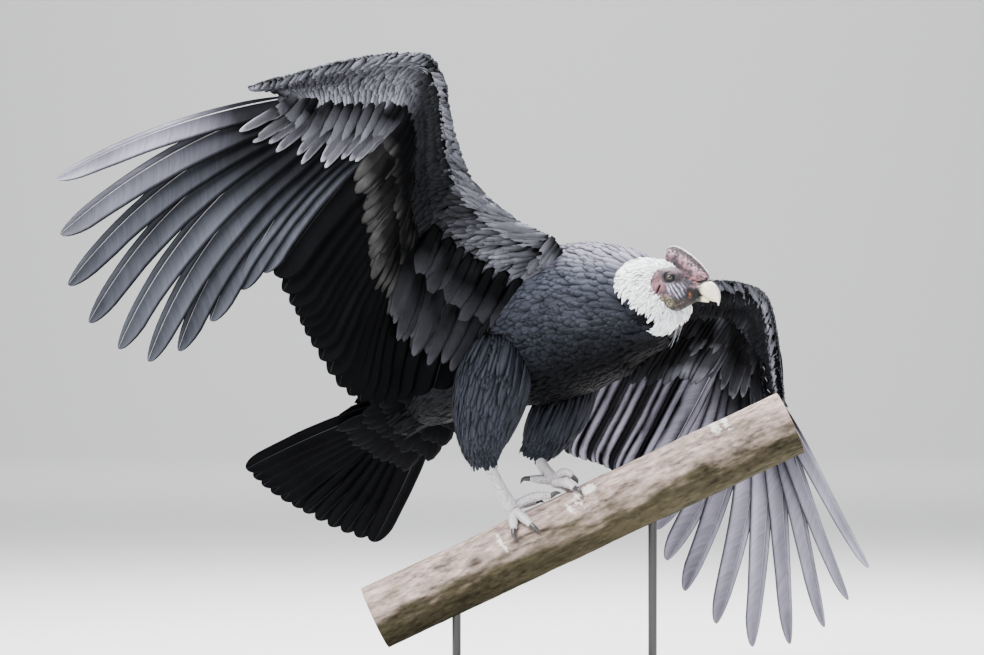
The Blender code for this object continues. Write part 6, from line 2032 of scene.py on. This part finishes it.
class CONDOR_OT_face(bpy.types.Operator):
    """The eyes, the comb and the bill"""

    bl_idname = "condor.face"
    bl_label = "Face"

    def execute(self, context):
        settings = context.scene.condor_head
        shell, looks = eyeballs()
        glass = Finish("glass eye", 0.25, coat_weight=0.5, coat_roughness=0.05, specular_ior_level=0.3)
        source = glass.add("Attribute", {"attribute_name": "vane"})
        split = glass.add("SeparateXYZ", None, {"Vector": glass.wire(source, "Vector")})
        angle, swirl = glass.wire(split, 0), glass.wire(split, 1)
        spokes = glass.speckle(1.0, 3.0, glass.vector(swirl * 9.0, angle * 2.5))
        iris = tuple(settings.iris)
        bright = tuple(min(1.0, 1.9 * c) for c in iris)
        shades = glass.blend(spokes, iris, bright)
        pupil = (0.004, 0.003, 0.003)
        ramp = glass.add("ValToRGB", {"stops": ((0.0, (0, 0, 0)), (0.128, (0, 0, 0)), (0.140, (1, 1, 1)))},
                         {"Fac": angle * 0.31831})
        inner = glass.blend(glass.wire(ramp, "Color"), pupil, shades)
        outer = glass.add("ValToRGB", {"stops": ((0.0, (0, 0, 0)), (0.232, (0, 0, 0)), (0.250, (1, 1, 1)))},
                          {"Fac": angle * 0.31831})
        glass.feed("Base Color", glass.blend(glass.wire(outer, "Color"), inner, (0.012, 0.009, 0.008)))
        eyes = mesh_piece("eyes", shell, glass, vane=looks)
        place_piece(eyes, "eye", "eye_left", "eye_right")
        shell, tint = comb_form(settings)
        fleshy = skin_finish("comb skin", 0.50, 0.4, 700.0, subsurface_weight=0.06, subsurface_scale=0.002,
                             specular_ior_level=0.2)
        place_piece(mesh_piece("crest", shell, fleshy, tint), "comb", "comb")
        horn = skin_finish("bill horn", 0.34, 0.10, 420.0, coat_weight=0.2, coat_roughness=0.3)
        upper, upper_tint = bill_form(BILL_UPPER, True, settings)
        lower, lower_tint = bill_form(BILL_LOWER, False, settings)
        bill = mesh_piece("bill", joined([upper, lower]), horn, np.concatenate([upper_tint, lower_tint]))
        place_piece(bill, "bill", "bill_upper", "bill_lower")
        return {"FINISHED"}


class CONDOR_OT_feet(bpy.types.Operator):
    """The scaled feet and their claws"""

    bl_idname = "condor.feet"
    bl_label = "Feet"

    def execute(self, context):
        settings = context.scene.condor_perch
        shells, shades, horns = [], [], []
        legs = ((SHANK_RIGHT, TOES_RIGHT, CLAWS_RIGHT), (SHANK_LEFT, TOES_LEFT, CLAWS_LEFT))
        for shank, toes, claws in legs:
            some, shade = foot_forms(shank, toes)
            shells += some
            shades += shade
            horns += claw_forms(claws)
        tint = mix(ease(np.concatenate(shades), 0.25, 0.75), tuple(settings.crease), tuple(settings.foot))
        scaly = skin_finish("scaly foot", 0.62, 0.3, 800.0, subsurface_weight=0.06, subsurface_scale=0.003)
        place_piece(mesh_piece("feet", joined(shells), scaly, tint), "foot", "foot_right", "foot_left")
        dark = joined(horns)
        horn = skin_finish("claw horn", 0.36, 0.1, 500.0, coat_weight=0.25)
        piece = mesh_piece("claws", dark, horn, np.tile(tuple(settings.claw), (len(dark[0]), 1)))
        names = [f"claw_{side}_{toe}" for side in ("left", "right") for toe in sorted(TOES_RIGHT)]
        place_piece(piece, "claw", *names)
        return {"FINISHED"}


class CONDOR_OT_plumage(bpy.types.Operator):
    """The feathers of the body, the thighs and the crop"""

    bl_idname = "condor.plumage"
    bl_label = "Body plumage"

    def execute(self, context):
        inks = context.scene.condor_plumage
        finish = feather_finish("body feather", 0.06)
        for name, maker in (("plumage_body", body_plumage), ("plumage_crop", crop_plumage),
                            ("plumage_thighs", thigh_plumage)):
            place_piece(maker(inks).build(name, finish), "plumage")
        return {"FINISHED"}


class CONDOR_OT_ruff(bpy.types.Operator):
    """The white collar of down"""

    bl_idname = "condor.ruff"
    bl_label = "Ruff"

    def execute(self, context):
        inks = context.scene.condor_plumage
        finish = feather_finish("white down", 0.2, sheen_weight=0.4, subsurface_weight=0.15,
                                subsurface_scale=0.01)
        place_piece(ruff_coat(inks).build("ruff", finish), "ruff")
        return {"FINISHED"}


class CONDOR_OT_wings(bpy.types.Operator):
    """The flight feathers and coverts of both wings"""

    bl_idname = "condor.wings"
    bl_label = "Wings"

    def execute(self, context):
        inks = context.scene.condor_plumage
        finish = feather_finish("wing feather", 0.04)
        for side in ("right", "left"):
            flight = flight_coat(side, inks).build(f"flight_{side}", finish)
            place_piece(flight, "plumage", f"wing_{side}_hand")
            coverts = wing_coverts(side, inks).build(f"coverts_{side}", finish)
            place_piece(coverts, "plumage", f"wing_{side}_arm")
        return {"FINISHED"}


class CONDOR_OT_tail(bpy.types.Operator):
    """The tail's feathers and their coverts"""

    bl_idname = "condor.tail"
    bl_label = "Tail"

    def execute(self, context):
        inks = context.scene.condor_plumage
        finish = feather_finish("tail feather", 0.02)
        place_piece(tail_plumage(inks).build("tail_fan", finish), "plumage", "tail")
        return {"FINISHED"}


OPERATORS = (CONDOR_OT_stage, CONDOR_OT_stand, CONDOR_OT_perch, CONDOR_OT_skin, CONDOR_OT_face, CONDOR_OT_feet,
             CONDOR_OT_plumage, CONDOR_OT_ruff, CONDOR_OT_wings, CONDOR_OT_tail)
GROUPS = {"condor_plumage": CondorPlumage, "condor_head": CondorHead, "condor_perch": CondorPerch,
          "condor_stage": CondorStage}


class CONDOR_PT_panel(bpy.types.Panel):
    """The sidebar's list of pieces and settings"""

    bl_idname = "CONDOR_PT_panel"
    bl_label = "Condor"
    bl_space_type = "VIEW_3D"
    bl_region_type = "UI"
    bl_category = "Condor"

    def draw(self, context):
        for operator in OPERATORS:
            self.layout.operator(operator.bl_idname)
        for label, group in GROUPS.items():
            box = self.layout.box()
            box.label(text=group.__doc__)
            for name in group.__annotations__:
                box.prop(getattr(context.scene, label), name)


def register():
    """Add the settings, the operators and the panel."""
    for label, group in GROUPS.items():
        bpy.utils.register_class(group)
        setattr(bpy.types.Scene, label, PointerProperty(type=group))
    for item in (*OPERATORS, CONDOR_PT_panel):
        bpy.utils.register_class(item)


def unregister():
    """Take them away again."""
    for item in (CONDOR_PT_panel, *reversed(OPERATORS)):
        bpy.utils.unregister_class(item)
    for label, group in GROUPS.items():
        delattr(bpy.types.Scene, label)
        bpy.utils.unregister_class(group)


def main():
    """Build every piece in order."""
    register()
    for operator in OPERATORS:
        group, name = operator.bl_idname.split(".")
        getattr(getattr(bpy.ops, group), name)()


if __name__ == "__main__":
    main()
